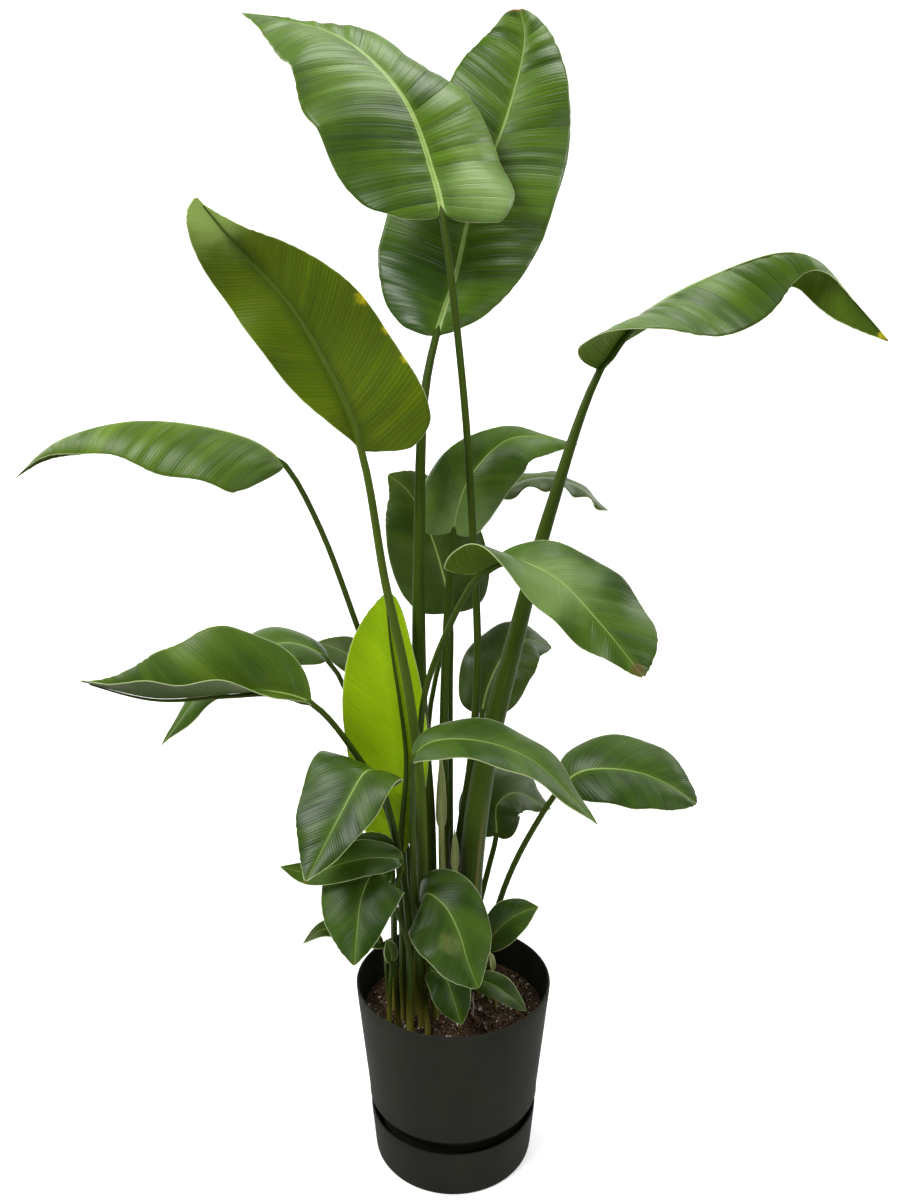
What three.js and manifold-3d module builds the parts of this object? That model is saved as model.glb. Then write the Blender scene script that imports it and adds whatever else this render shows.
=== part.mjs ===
// A potted giant white bird of paradise, Strelitzia nicolai, as a floor plant.
// Millimetres, +Z up. The origin is the middle of the saucer's flat underside.
// The plant is seen from the front along +Y, so -Y is the side towards the viewer.

import * as THREE from "three";
import { mergeVertices } from "three/addons/utils/BufferGeometryUtils.js";
import Module from "manifold-3d";

const wasm = await Module();
wasm.setup();

// Pot: a plain nursery pot 30 cm across, whose narrow neck stands inside the saucer
const POT_RIM_RADIUS = 147.5;
const POT_TOP = 278;
const POT_WALL = 3.5;
const SKIRT_FOOT_RADIUS = 129.5;
const SKIRT_FOOT_Z = 94;
const NECK_RADIUS = 112;
const POT_FOOT_Z = 4;
const POT_FLOOR = 5;
const LIP_ROUND = 1.6;

// Saucer: a shallow dish, a little narrower than the pot's skirt
const SAUCER_RIM_RADIUS = 127.5;
const SAUCER_FOOT_RADIUS = 119;
const SAUCER_TOP = 73;
const SAUCER_WALL = 3;
const SAUCER_FLOOR = 3.5;

// Soil: a filling with one plain hole for every stem
const SOIL_TOP = 225;
const SOIL_GAP = 0.4;
const HOLE_GAP = 0.8;
const ROOT_DEPTH = 62;
const CLEAR_OF_SOIL = 4;

// Leaves: grid of a blade and of its stalk, and the blade's own thickness
const ROUND_STEPS = 48;
const HOLE_SIDES = 12;
const SPAN_STEPS = 24;
const BLADE_THICKNESS = 1.2;
const RIB_KEEL = 1.6;
const SHOULDER = 0.55;
const FORWARD_SWEEP = 0.1;
const SHEATH_SHARE = 0.35;
const TIP_SHARE = 0.995;
const LARGE = { columns: [0.34, 0.7, 1], bladeSteps: 13, stalkSteps: 8 };
const SMALL = { columns: [0.5, 1], bladeSteps: 9, stalkSteps: 6 };

// Every leaf: where it stands in the soil, points up its stalk, points from the foot of the blade
// to its tip along the rib, and the way the upper face looks at foot, middle and tip. Widths are
// from the rib to the margin. Rise and droop are degrees: how steeply a half climbs away from the
// rib and how far it has bent down by the margin.
const LEAVES = [
  {
    name: "leaf_top_left", grid: LARGE, color: 0x4e7a2c,
    root: [2, 62], radii: [7, 6, 5],
    stalk: [[6, 66, 440], [28, 62, 610], [36, 52, 760], [30, 42, 915], [15, 45, 1140]],
    rib: [[-15, 60, 1385], [-28, 72, 1440], [-70, 90, 1545], [-155, 110, 1625], [-290, 120, 1660]],
    face: [[0.1, -1, 0.3], [0.2, -0.8, 0.55], [0.2, -0.5, 0.85]],
    left: { width: 142, rise: 22, droop: 45, lobe: 0.15 },
    right: { width: 120, rise: 15, droop: [40, 62, 40], widest: 0.16, blunt: 1.5 },
    wave: [9, 3.4, 0.1], widest: 0.38, blunt: 0.8, lobe: 0.3,
  },
  {
    name: "leaf_top_right", grid: LARGE, color: 0x46702a,
    root: [-38, 40], radii: [14, 13, 5.5],
    stalk: [[-40, 58, 500], [-50, 58, 695], [-50, 58, 905], [-42, 72, 1140]],
    rib: [
      [-25, 100, 1230], [5, 140, 1325], [25, 165, 1410], [80, 200, 1555], [105, 220, 1665],
      [97, 222, 1705],
    ],
    face: [[-0.1, -1, 0.3], [-0.1, -1, 0.35], [-0.1, -0.9, 0.6]],
    left: { width: 126, rise: 20, droop: 40, widest: 0.3, blunt: 0.5, lobe: 0.1 },
    right: { width: 118, rise: 15, droop: 50, widest: 0.42, shoulder: 0.8, lobe: -0.1 },
    wave: [9, 3.4, 0.6], widest: 0.4, blunt: 0.75, lobe: 0.3,
  },
  {
    name: "leaf_left_hooded", grid: LARGE, color: 0x4b7a2b,
    root: [-50, -12], radii: [14, 8, 5],
    stalk: [[-47, -15, 570], [-65, -35, 755], [-92, -55, 900]],
    rib: [[-118, -80, 1073], [-148, -92, 1155], [-200, -108, 1250], [-260, -130, 1320],
      [-284, -198, 1356]],
    face: [[-0.5, 0.85, 0.3], [-0.5, 0.75, 0.45], [-0.3, 0.6, 0.8]],
    left: { width: 110, rise: 20, droop: 30, widest: 0.1, blunt: 1.8, lobe: 0.25 },
    right: { width: 62, rise: 20, droop: 30, widest: 0.5, shoulder: 1.3, blunt: 0.7 },
    wave: [7, 3.2, 0.3], widest: 0.42, blunt: 0.8, lobe: 0.25,
  },
  {
    name: "leaf_right_arching", grid: LARGE, color: 0x4c7c2a,
    root: [30, 44], radii: [17.2, 20, 5.5],
    stalk: [[26, 36, 425], [45, 36, 600], [85, 34, 780], [137, 25, 990]],
    rib: [
      [200, 20, 1180], [250, 20, 1248], [345, 30, 1303], [445, 35, 1335], [495, 40, 1325],
      [545, 40, 1275], [600, 40, 1218],
    ],
    face: [[-0.6, -0.35, 0.8], [-0.2, -0.1, 1], [0.4, 0.8, 0.5]],
    left: { width: 72, rise: -5, droop: [20, 80, 40], lobe: 0.3 },
    right: {
      width: 112, rise: [115, -45, 20], droop: [40, 45, 20],
      widest: 0.25, shoulder: 0.75, blunt: 3.6, lobe: 0.3,
    },
    wave: [5, 3, 0.2], widest: 0.35, blunt: 0.9, lobe: 0.1,
  },
  {
    name: "leaf_left_arching", grid: LARGE, color: 0x6f9a35,
    root: [-72, 28], radii: [6, 5.5, 4.5],
    stalk: [[-76, 55, 430], [-92, 62, 650], [-142, 55, 815], [-192, 40, 965]],
    rib: [
      [-235, 30, 1050], [-275, 30, 1083], [-370, 25, 1108], [-455, 15, 1110], [-545, 5, 1083],
      [-608, 0, 1030],
    ],
    face: [[0.6, -0.2, 0.8], [0, -0.3, 1], [-0.4, -0.3, 0.85]],
    left: { width: 100, rise: -5, droop: 60, widest: 0.2, blunt: 1.9 },
    right: { width: 78, rise: -15, droop: 70, blunt: 1.3 },
    wave: [5, 3, 0.5], widest: 0.38, blunt: 0.9, lobe: 0.1,
  },
  {
    name: "leaf_centre_back", grid: SMALL, color: 0x4a7a2c,
    root: [-16, 68], radii: [9, 9, 4.5],
    stalk: [[-14, 62, 425], [-14, 68, 675], [-8, 78, 850]],
    rib: [[0, 88, 948], [10, 94, 995], [30, 101, 1037], [80, 112, 1083], [135, 120, 1088], [187, 124, 1076]],
    face: [[0.2, -1, 0.2], [0.1, -0.9, 0.6], [0.3, -0.6, 0.9]],
    left: { width: 60, rise: 15, droop: 30, widest: 0.15, blunt: 2.6 },
    right: { width: 62, rise: 20, droop: 50 },
    wave: [4, 3, 0.2], widest: 0.35, blunt: 0.9, lobe: 0.3,
  },
  {
    name: "leaf_centre_dark", grid: SMALL, color: 0x35561f,
    root: [-6, 92], radii: [6, 5.5, 4.5],
    stalk: [[-5, 84, 410], [-5, 100, 580], [-5, 115, 700]],
    rib: [[-5, 128, 820], [-18, 138, 885], [-40, 145, 950], [-70, 148, 1005], [-100, 150, 1030]],
    face: [[0.1, -1, 0.2], [0.1, -1, 0.2], [0.1, -0.9, 0.4]],
    left: { width: 75, rise: 15, droop: 30 }, right: { width: 78, rise: 15, droop: 30 },
    wave: [4, 2, 0.1], widest: 0.35, blunt: 0.9, lobe: 0.2,
  },
  {
    name: "leaf_back_crinkled", grid: SMALL, color: 0x4f7a30,
    root: [-40, 84], radii: [6, 5, 4],
    stalk: [[-40, 98, 500], [-38, 122, 655], [2, 168, 825], [33, 180, 930]],
    rib: [[62, 186, 988], [125, 192, 1020], [187, 196, 1012], [248, 200, 968]],
    face: [[-0.3, -0.1, 1], [0, -0.1, 1], [0.3, -0.1, 1]],
    left: { width: 50, rise: 30, droop: 60 }, right: { width: 50, rise: 25, droop: 70 },
    wave: [6, 4, 0.2], widest: 0.45, blunt: 0.8, lobe: 0.1,
  },
  {
    name: "leaf_right_middle", grid: LARGE, color: 0x5a8530,
    root: [-52, 14], radii: [6.5, 5.5, 4.5],
    stalk: [[-52, 12, 460], [-50, 2, 640], [-38, -25, 745], [5, -50, 860]],
    rib: [[35, -60, 910], [72, -75, 932], [130, -110, 915], [180, -150, 868], [232, -192, 806]],
    face: [[-0.3, -0.5, 0.9], [0.3, -1, 0.6], [0.5, -0.9, 0.3]],
    left: { width: 74, rise: 10, droop: 30, widest: 0.68, shoulder: 1, lobe: -0.2 },
    right: { width: 56, rise: [150, 10, -5], droop: 30, widest: 0.2, lobe: 0.9 },
    wave: [6, 3.3, 0.4], widest: 0.45, blunt: 0.8, lobe: 0.3,
  },
  {
    name: "leaf_lime_upright", grid: LARGE, color: 0x86a83a,
    root: [-66, 2], radii: [7, 6, 5],
    stalk: [[-70, 8, 340]],
    rib: [[-80, 12, 470], [-70, 16, 620], [-78, 20, 705], [-90, 24, 790], [-97, 26, 868]],
    face: [[-0.2, 1, 0.1], [-0.1, 1, 0.1], [0.1, 1, -0.1]],
    left: { width: 36, rise: 25, droop: 35, blunt: 0.4 },
    right: { width: 88, rise: 20, droop: 35, blunt: 0.85 },
    wave: [3, 2, 0.2], widest: 0.5, blunt: 0.8, lobe: 0.1,
  },
  {
    name: "leaf_left_trough", grid: LARGE, color: 0x6c9436,
    root: [-75, -28], radii: [6, 5.5, 4.5],
    stalk: [[-80, -20, 470], [-97, -26, 565], [-135, -38, 645]],
    rib: [[-194, -60, 730], [-245, -70, 750], [-300, -85, 752], [-395, -105, 752], [-486, -120, 780]],
    face: [[0.4, -0.3, 0.9], [0, -0.3, 1], [0.2, -0.2, 1]],
    left: { width: 50, rise: [10, 68, 50], droop: 20, shoulder: 1.2, blunt: 0.6, lobe: -0.1 },
    right: { width: 90, rise: 65, droop: 25, widest: 0.36, shoulder: 1.2, blunt: 1.5, lobe: 0.05 },
    wave: [5, 3, 0.1], widest: 0.32, blunt: 0.8, lobe: 0.2,
  },
  {
    name: "leaf_left_behind", grid: SMALL, color: 0x52802f,
    root: [-90, -4], radii: [5.5, 5, 4],
    stalk: [[-95, 45, 470], [-108, 60, 575], [-152, 45, 700]],
    rib: [[-185, 25, 772], [-240, 15, 798], [-305, 5, 775], [-360, -5, 730], [-418, -20, 655]],
    face: [[0.4, -0.3, 0.9], [-0.1, -0.4, 0.9], [-0.6, -0.4, 0.6]],
    left: { width: 50, rise: 25, droop: 60 }, right: { width: 50, rise: 25, droop: 60 },
    wave: [4, 3, 0.3], widest: 0.35, blunt: 1, lobe: 0.15,
  },
  {
    name: "leaf_left_back_small", grid: SMALL, color: 0x567f33,
    root: [-62, 70], radii: [5, 4.5, 4],
    stalk: [[-72, 80, 435], [-92, 88, 580], [-110, 98, 680]],
    rib: [[-128, 106, 728], [-168, 116, 757], [-212, 126, 772]],
    face: [[0.3, -0.7, 0.7], [0.2, -0.7, 0.7], [0.2, -0.7, 0.7]],
    left: { width: 30, rise: 20, droop: 30 }, right: { width: 30, rise: 20, droop: 30 },
    wave: [2, 2, 0.2], widest: 0.4, blunt: 1, lobe: 0.15,
  },
  {
    name: "leaf_front_right_arching", grid: LARGE, color: 0x5c8832,
    root: [-46, -44], radii: [10.5, 6, 4.5],
    stalk: [[-58, -58, 475], [-56, -92, 600]],
    rib: [
      [-53, -110, 671], [-30, -122, 697], [32, -147, 708], [98, -172, 692], [150, -192, 648],
      [180, -204, 618],
    ],
    face: [[-0.5, -0.3, 0.8], [0.1, -0.3, 1], [0.5, -0.3, 0.8]],
    left: { width: 42, rise: 25, droop: 40 }, right: { width: 42, rise: 20, droop: 40 },
    wave: [3, 3, 0.2], widest: 0.35, blunt: 1, lobe: 0.2,
  },
  {
    name: "leaf_right_low", grid: SMALL, color: 0x527f2e,
    root: [54, 42], radii: [6, 5, 4.5],
    stalk: [[55, 32, 310], [82, 20, 425], [122, 8, 520]],
    rib: [[165, 0, 592], [192, -6, 612], [255, -20, 617], [305, -30, 602], [348, -40, 575]],
    face: [[-0.4, -0.6, 0.9], [0.1, -0.6, 0.8], [0.4, -0.6, 0.7]],
    left: { width: 60, rise: 25, droop: 45 }, right: { width: 58, rise: 10, droop: 35 },
    wave: [3, 3, 0.2], widest: 0.45, blunt: 0.8, lobe: 0.25,
  },
  {
    name: "leaf_back_frayed", grid: SMALL, color: 0x4d7430,
    root: [32, 92], radii: [6, 5.5, 4.5],
    stalk: [[38, 98, 315], [58, 112, 400]],
    rib: [[70, 120, 450], [72, 130, 500], [100, 142, 515], [162, 155, 480]],
    face: [[-0.3, -0.9, 0.5], [0, -0.6, 0.9], [0.3, -0.5, 0.9]],
    left: { width: 66, rise: 15, droop: 40 }, right: { width: 42, rise: 20, droop: 40 },
    wave: [4, 3, 0.2], widest: 0.32, blunt: 1, lobe: 0.3,
  },
  {
    name: "leaf_back_middle", grid: SMALL, color: 0x4c762d,
    root: [14, 78], radii: [6, 5, 4.5],
    stalk: [[25, 80, 410], [42, 105, 555]],
    rib: [[46, 130, 655], [58, 145, 700], [82, 162, 742], [118, 180, 762], [162, 195, 745]],
    face: [[-0.2, -0.9, 0.4], [-0.1, -0.7, 0.8], [0.2, -0.5, 0.9]],
    left: { width: 58, rise: 20, droop: 40 }, right: { width: 62, rise: 20, droop: 40 },
    wave: [4, 3, 0.2], widest: 0.4, blunt: 0.9, lobe: 0.2,
  },
  {
    name: "leaf_front_left_drooping", grid: LARGE, color: 0x5a8732,
    root: [-64, -50], radii: [6.5, 5.5, 4.5],
    stalk: [[-66, -42, 390], [-79, -44, 510]],
    rib: [
      [-98, -58, 602], [-106, -76, 638], [-120, -104, 647], [-148, -142, 606], [-171, -170, 566],
      [-190, -192, 534],
    ],
    face: [[0.1, 0.1, 0.9], [-0.3, -0.7, 0.6], [-0.4, -0.9, 0.2]],
    left: { width: 52, rise: 15, droop: 30, widest: 0.3, shoulder: 0.9, lobe: 0 },
    right: { width: 78, rise: 20, droop: 30, widest: 0.28, shoulder: 0.4, lobe: 0.35 },
    wave: [3, 3, 0.2], widest: 0.35, blunt: 1, lobe: 0.1,
  },
  {
    name: "leaf_left_low", grid: SMALL, color: 0x55802f,
    root: [-82, -50], radii: [5, 4.5, 4],
    stalk: [[-85, -56, 400], [-79, -72, 470]],
    rib: [[-72, -84, 508], [-110, -96, 520], [-150, -108, 518], [-195, -120, 510], [-235, -126, 522]],
    face: [[0.3, -0.7, 0.8], [0, -0.8, 0.7], [0.1, -0.8, 0.7]],
    left: { width: 26, rise: 20, droop: 40 }, right: { width: 28, rise: 20, droop: 40 },
    wave: [2, 3, 0.2], widest: 0.4, blunt: 1, lobe: 0.1,
  },
  {
    name: "leaf_bottom_left", grid: SMALL, color: 0x5a8632,
    root: [-62, -76], radii: [7, 5, 4],
    stalk: [[-64, -74, 370]],
    rib: [[-92, -82, 462], [-108, -98, 502], [-124, -128, 480], [-129, -155, 442], [-131, -178, 407]],
    face: [[0.3, -0.1, 0.6], [-0.1, -0.8, 0.6], [-0.1, -1, 0.1]],
    left: { width: 54, rise: 15, droop: 30 }, right: { width: 64, rise: 15, droop: 35 },
    wave: [3, 3, 0.2], widest: 0.28, blunt: 0.9, lobe: 0.1,
  },
  {
    name: "leaf_bottom_centre", grid: SMALL, color: 0x6b8440,
    root: [-28, -30], radii: [10, 6, 4.5],
    stalk: [[-36, -38, 345]],
    rib: [
      [-48, -52, 425], [-36, -70, 452], [-12, -90, 444], [8, -112, 415], [20, -130, 382],
      [34, -143, 350],
    ],
    face: [[-0.2, -0.3, 0.8], [0.1, -0.9, 0.6], [0.3, -1, 0.2]],
    left: { width: 50, rise: 15, droop: 30 }, right: { width: 66, rise: 10, droop: 30 },
    wave: [3, 3, 0.2], widest: 0.4, blunt: 0.9, lobe: 0.1,
  },
  {
    name: "leaf_small_right", grid: SMALL, color: 0x527c2f,
    root: [52, 14], radii: [4.5, 4, 3.5],
    stalk: [[51, 6, 285]],
    rib: [[50, 0, 325], [76, -8, 368], [100, -18, 392], [126, -28, 408]],
    face: [[-0.5, -0.7, 0.6], [-0.4, -0.8, 0.5], [-0.2, -0.8, 0.6]],
    left: { width: 30, rise: 20, droop: 30 }, right: { width: 30, rise: 20, droop: 30 },
    wave: [2, 2, 0.2], widest: 0.45, blunt: 1, lobe: 0.1,
  },
  {
    name: "leaf_small_grey", grid: SMALL, color: 0x5f7f4a,
    root: [-96, -36], radii: [4, 3.5, 3],
    stalk: [[-98, -52, 320]],
    rib: [[-102, -72, 372], [-148, -100, 412], [-180, -118, 425], [-206, -134, 412]],
    face: [[0.2, -0.6, 0.9], [0, -0.6, 0.9], [0, -0.6, 0.9]],
    left: { width: 18, rise: 20, droop: 30 }, right: { width: 18, rise: 20, droop: 30 },
    wave: [2, 2, 0.2], widest: 0.4, blunt: 1, lobe: 0.1,
  },
  {
    name: "leaf_low_front", grid: SMALL, color: 0x4d7a2c,
    root: [-38, -68], radii: [10, 5, 3.5],
    stalk: [[-40, -62, 290]],
    rib: [[-35, -62, 325], [-12, -76, 322], [0, -92, 300], [12, -106, 268]],
    face: [[0, -0.4, 1], [0, -0.9, 0.6], [0.2, -1, 0.2]],
    left: { width: 30, rise: 20, droop: 30 }, right: { width: 30, rise: 20, droop: 30 },
    wave: [2, 2, 0.2], widest: 0.4, blunt: 1, lobe: 0.15,
  },
  {
    name: "leaf_low_right", grid: SMALL, color: 0x4a722e,
    root: [12, -24], radii: [4.5, 4, 3.5],
    stalk: [[14, -27, 268]],
    rib: [[24, -32, 290], [55, -46, 294], [84, -56, 280], [108, -62, 259]],
    face: [[-0.2, -0.5, 0.9], [0.1, -0.6, 0.9], [0.3, -0.6, 0.8]],
    left: { width: 20, rise: 20, droop: 30 }, right: { width: 20, rise: 20, droop: 30 },
    wave: [2, 2, 0.2], widest: 0.4, blunt: 1, lobe: 0.1,
  },
  {
    name: "sprout_front_right", grid: SMALL, color: 0x9aa44a,
    root: [64, -6], radii: [5, 4, 3],
    stalk: [[61, -10, 262]],
    rib: [[58, -15, 292], [57, -18, 312], [54, -20, 330]],
    face: [[0.8, -0.4, 0.1], [0.8, -0.4, 0.1], [0.8, -0.4, 0.1]],
    left: { width: 9, rise: 40, droop: 30 }, right: { width: 9, rise: 40, droop: 30 },
    wave: [1, 1, 0.2], widest: 0.4, blunt: 1, lobe: 0.1,
  },
  {
    name: "sprout_pot_edge", grid: SMALL, color: 0x3f6028,
    root: [-94, -62], radii: [4, 3.5, 3],
    stalk: [[-92, -62, 300]],
    rib: [[-90, -62, 340], [-92, -68, 362], [-96, -76, 384]],
    face: [[0.5, -0.8, 0.3], [0.5, -0.8, 0.3], [0.5, -0.8, 0.3]],
    left: { width: 12, rise: 30, droop: 30 }, right: { width: 12, rise: 30, droop: 30 },
    wave: [1, 1, 0.2], widest: 0.4, blunt: 1, lobe: 0.1,
  },
  {
    name: "sheath_centre", grid: SMALL, color: 0x8f9460,
    root: [-14, 34], radii: [8, 7.5, 5],
    stalk: [[-16, 30, 400]],
    rib: [[-18, 36, 500], [-18, 42, 580], [-19, 48, 620]],
    face: [[0.2, -1, 0], [0.2, -1, 0], [0.2, -1, 0]],
    left: { width: 9, rise: 20, droop: 60 }, right: { width: 9, rise: 20, droop: 60 },
    wave: [0, 1, 0], widest: 0.2, blunt: 1, lobe: 0,
  },
  {
    name: "sheath_back", grid: SMALL, color: 0x8a8f5c,
    root: [6, 30], radii: [7, 6, 5],
    stalk: [[4, 26, 380]],
    rib: [[3, 24, 440], [3, 24, 480], [2, 26, 505]],
    face: [[0.2, -1, 0], [0.2, -1, 0], [0.2, -1, 0]],
    left: { width: 7, rise: 20, droop: 60 }, right: { width: 7, rise: 20, droop: 60 },
    wave: [0, 1, 0], widest: 0.2, blunt: 1, lobe: 0,
  },
];

const DEGREE = Math.PI / 180;

function vector(point) {
  return new THREE.Vector3(point[0], point[1], point[2]);
}

function mix(from, to, share) {
  return from + (to - from) * share;
}

function clamp01(value) {
  return Math.min(1, Math.max(0, value));
}

// Value at a share of the blade's length, smoothly through its values at foot, middle and tip
function throughThree(values, share) {
  const foot = (1 - share) * (1 - 2 * share);
  const middle = 4 * share * (1 - share);
  const tip = share * (2 * share - 1);
  return values[0] * foot + values[1] * middle + values[2] * tip;
}

// A value that is one number all along the blade, or three numbers at foot, middle and tip
function valueAt(value, share) {
  return Array.isArray(value) ? throughThree(value, share) : value;
}

function faceAt(leaf, share) {
  const axis = (index) => throughThree(leaf.face.map((direction) => direction[index]), share);
  return new THREE.Vector3(axis(0), axis(1), axis(2)).normalize();
}

// A run of points with the distance walked to each, so that any distance can be looked up
function measuredPath(points) {
  const walked = [0];
  for (let index = 1; index < points.length; index += 1) {
    walked.push(walked[index - 1] + points[index].distanceTo(points[index - 1]));
  }
  return { points, walked, length: walked[walked.length - 1] };
}

function placeOn(path, distance) {
  let index = 1;
  while (index < path.points.length - 1 && path.walked[index] < distance) {
    index += 1;
  }
  const span = path.walked[index] - path.walked[index - 1];
  const share = clamp01((distance - path.walked[index - 1]) / span);
  const point = path.points[index - 1].clone().lerp(path.points[index], share);
  return point;
}

function headingOn(path, distance) {
  const reach = path.length / 60;
  const ahead = placeOn(path, Math.min(path.length, distance + reach));
  const behind = placeOn(path, Math.max(0, distance - reach));
  return ahead.sub(behind).normalize();
}

// The spine of a leaf, cut where the stalk ends and the blade begins
function spineOf(leaf) {
  const [x, y] = leaf.root;
  const below = new THREE.Vector3(x, y, SOIL_TOP - ROOT_DEPTH);
  const above = new THREE.Vector3(x, y, SOIL_TOP + CLEAR_OF_SOIL);
  const points = [below, above, ...leaf.stalk.map(vector), ...leaf.rib.map(vector)];
  const curve = new THREE.CatmullRomCurve3(points, false, "centripetal");
  const samples = curve.getPoints(SPAN_STEPS * (points.length - 1));
  const foot = SPAN_STEPS * (2 + leaf.stalk.length);
  return {
    stalk: measuredPath(samples.slice(SPAN_STEPS, foot + 1)),
    rib: measuredPath(samples.slice(foot)),
    root: below,
  };
}

// Share of the full width at a share of the blade's length
function outlineAt(half, share) {
  if (share < half.widest) {
    return (1 - (1 - share / half.widest) ** 2.2) ** half.shoulder;
  }
  const past = (share - half.widest) / (1 - half.widest);
  return clamp01(1 - past ** 2) ** half.blunt;
}

// What one half of a blade doesn't say for itself, it takes from its leaf
function halfOf(leaf, column) {
  const { widest, blunt, lobe } = leaf;
  const own = column < 0 ? leaf.left : leaf.right;
  return { widest, blunt, lobe, shoulder: SHOULDER, ...own };
}

// One blade point on the upper face, with the direction that the face looks there
function bladePoint(leaf, frame, share, column) {
  const half = halfOf(leaf, column);
  const side = Math.sign(column);
  const out = Math.abs(column);
  const outline = outlineAt(half, share);
  const width = Math.max(half.width * outline, leaf.radii[2] * (1 - 0.8 * share));
  const rise = valueAt(half.rise, share) * DEGREE;
  const droop = valueAt(half.droop, share) * DEGREE;
  const angle = rise - droop * out;
  const [height, count, phase] = leaf.wave;
  const ripple = height * Math.sqrt(outline) * out ** 2 * Math.sin(2 * Math.PI * (count * share + phase));
  const sideways = width * (Math.sin(rise) - Math.sin(angle)) / droop;
  const upwards = width * (Math.cos(angle) - Math.cos(rise)) / droop + ripple;
  const ease = clamp01(2 * share);
  const forward = mix(-half.lobe, FORWARD_SWEEP, ease * ease * (3 - 2 * ease));
  const shift = out * half.width * forward * Math.min(1, 1.5 * outline);
  const point = frame.place.clone();
  point.addScaledVector(frame.across, side * sideways);
  point.addScaledVector(frame.up, upwards);
  point.addScaledVector(frame.heading, shift);
  const normal = frame.up.clone().multiplyScalar(Math.cos(angle));
  normal.addScaledVector(frame.across, -side * Math.sin(angle));
  return { point, normal };
}

function bladeFrame(leaf, path, share) {
  const distance = share * path.length;
  const heading = headingOn(path, distance);
  const across = heading.clone().cross(faceAt(leaf, share)).normalize();
  const up = across.clone().cross(heading);
  return { place: placeOn(path, distance), heading, across, up };
}

function columnsOf(leaf) {
  const half = leaf.grid.columns;
  return [...half.map((value) => -value).reverse(), 0, ...half];
}

function bladeRing(leaf, path, share) {
  const frame = bladeFrame(leaf, path, share);
  const keel = RIB_KEEL * (leaf.radii[2] * (1 - share) ** 0.8 + 0.8);
  const upper = [];
  const lower = [];
  for (const column of columnsOf(leaf)) {
    const { point, normal } = bladePoint(leaf, frame, share, column);
    const thickness = column === 0 ? keel : BLADE_THICKNESS;
    upper.push(point);
    lower.unshift(point.clone().addScaledVector(normal, -thickness));
  }
  return [...upper, ...lower];
}

function stalkRing(place, across, up, radius, columnCount) {
  const ring = [];
  for (let index = 0; index < 2 * columnCount; index += 1) {
    const angle = Math.PI * (columnCount - 0.5 - index) / columnCount;
    const point = place.clone();
    point.addScaledVector(across, radius * Math.cos(angle));
    point.addScaledVector(up, radius * Math.sin(angle));
    ring.push(point);
  }
  return ring;
}

// Rings up the stalk, turned with the blade at the top and carried down without a twist
function stalkRings(leaf, spine) {
  const [footRadius, sheathRadius, neckRadius] = leaf.radii;
  const steps = leaf.grid.stalkSteps;
  const columnCount = columnsOf(leaf).length;
  const rings = [];
  let up = bladeFrame(leaf, spine.rib, 0).up;
  for (let step = steps - 1; step >= 0; step -= 1) {
    const share = step / steps;
    const distance = share * spine.stalk.length;
    const heading = headingOn(spine.stalk, distance);
    up = up.clone().addScaledVector(heading, -heading.dot(up)).normalize();
    const across = heading.clone().cross(up);
    const radius = share < SHEATH_SHARE
      ? mix(footRadius, sheathRadius, share / SHEATH_SHARE)
      : mix(sheathRadius, neckRadius, (share - SHEATH_SHARE) / (1 - SHEATH_SHARE));
    const place = placeOn(spine.stalk, distance);
    rings.unshift(stalkRing(place, across, up, radius, columnCount));
  }
  const flatUp = up.clone().setZ(0).normalize();
  const flatAcross = new THREE.Vector3(0, 0, 1).cross(flatUp);
  rings.unshift(stalkRing(spine.root, flatAcross, flatUp, footRadius, columnCount));
  return rings;
}

// Closed skin over the rings. Both faces are split alike, along the side veins.
function skinOver(rings, columnCount) {
  const size = rings[0].length;
  const middle = (columnCount - 1) / 2;
  const faces = [];
  for (let ring = 0; ring + 1 < rings.length; ring += 1) {
    for (let index = 0; index < size; index += 1) {
      const next = (index + 1) % size;
      const [a, b] = [ring * size + index, ring * size + next];
      const [c, d] = [a + size, b + size];
      const isUpper = index < columnCount;
      const isLeft = isUpper ? index < middle : size - 2 - index < middle;
      if (isUpper === isLeft) {
        faces.push([a, b, c], [b, d, c]);
      } else {
        faces.push([a, b, d], [a, d, c]);
      }
    }
  }
  const last = (rings.length - 1) * size;
  for (let index = 0; index + 1 < columnCount; index += 1) {
    const corners = [index, index + 1, size - 2 - index, size - 1 - index];
    const [p, q, r, s] = corners;
    faces.push([p, r, q], [p, s, r]);
    faces.push([last + p, last + q, last + r], [last + p, last + r, last + s]);
  }
  return faces;
}

function closedGeometry(points, faces) {
  const geometry = new THREE.BufferGeometry();
  const positions = points.flatMap((point) => [point.x, point.y, point.z]);
  geometry.setAttribute("position", new THREE.Float32BufferAttribute(positions, 3));
  geometry.setIndex(faces.flat());
  if (volumeOf(points, faces) < 0) {
    geometry.setIndex(faces.map(([a, b, c]) => [a, c, b]).flat());
  }
  geometry.computeVertexNormals();
  return geometry;
}

function volumeOf(points, faces) {
  let sum = 0;
  for (const [a, b, c] of faces) {
    sum += points[a].dot(points[b].clone().cross(points[c]));
  }
  return sum / 6;
}

function leafGeometry(leaf) {
  const spine = spineOf(leaf);
  const steps = leaf.grid.bladeSteps;
  const rings = stalkRings(leaf, spine);
  const shares = [0, 0.5 / steps];
  for (let step = 1; step <= steps; step += 1) {
    shares.push(step / steps);
  }
  for (const share of shares) {
    rings.push(bladeRing(leaf, spine.rib, share * TIP_SHARE));
  }
  return closedGeometry(rings.flat(), skinOver(rings, columnsOf(leaf).length));
}

// Solid turned round the plant's axis from a profile of [radius, height] points
function turned(profile) {
  const points = profile.map(([radius, height]) => new THREE.Vector2(radius, height));
  const geometry = new THREE.LatheGeometry(points, ROUND_STEPS);
  geometry.rotateX(Math.PI / 2);
  return geometry;
}

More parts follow.
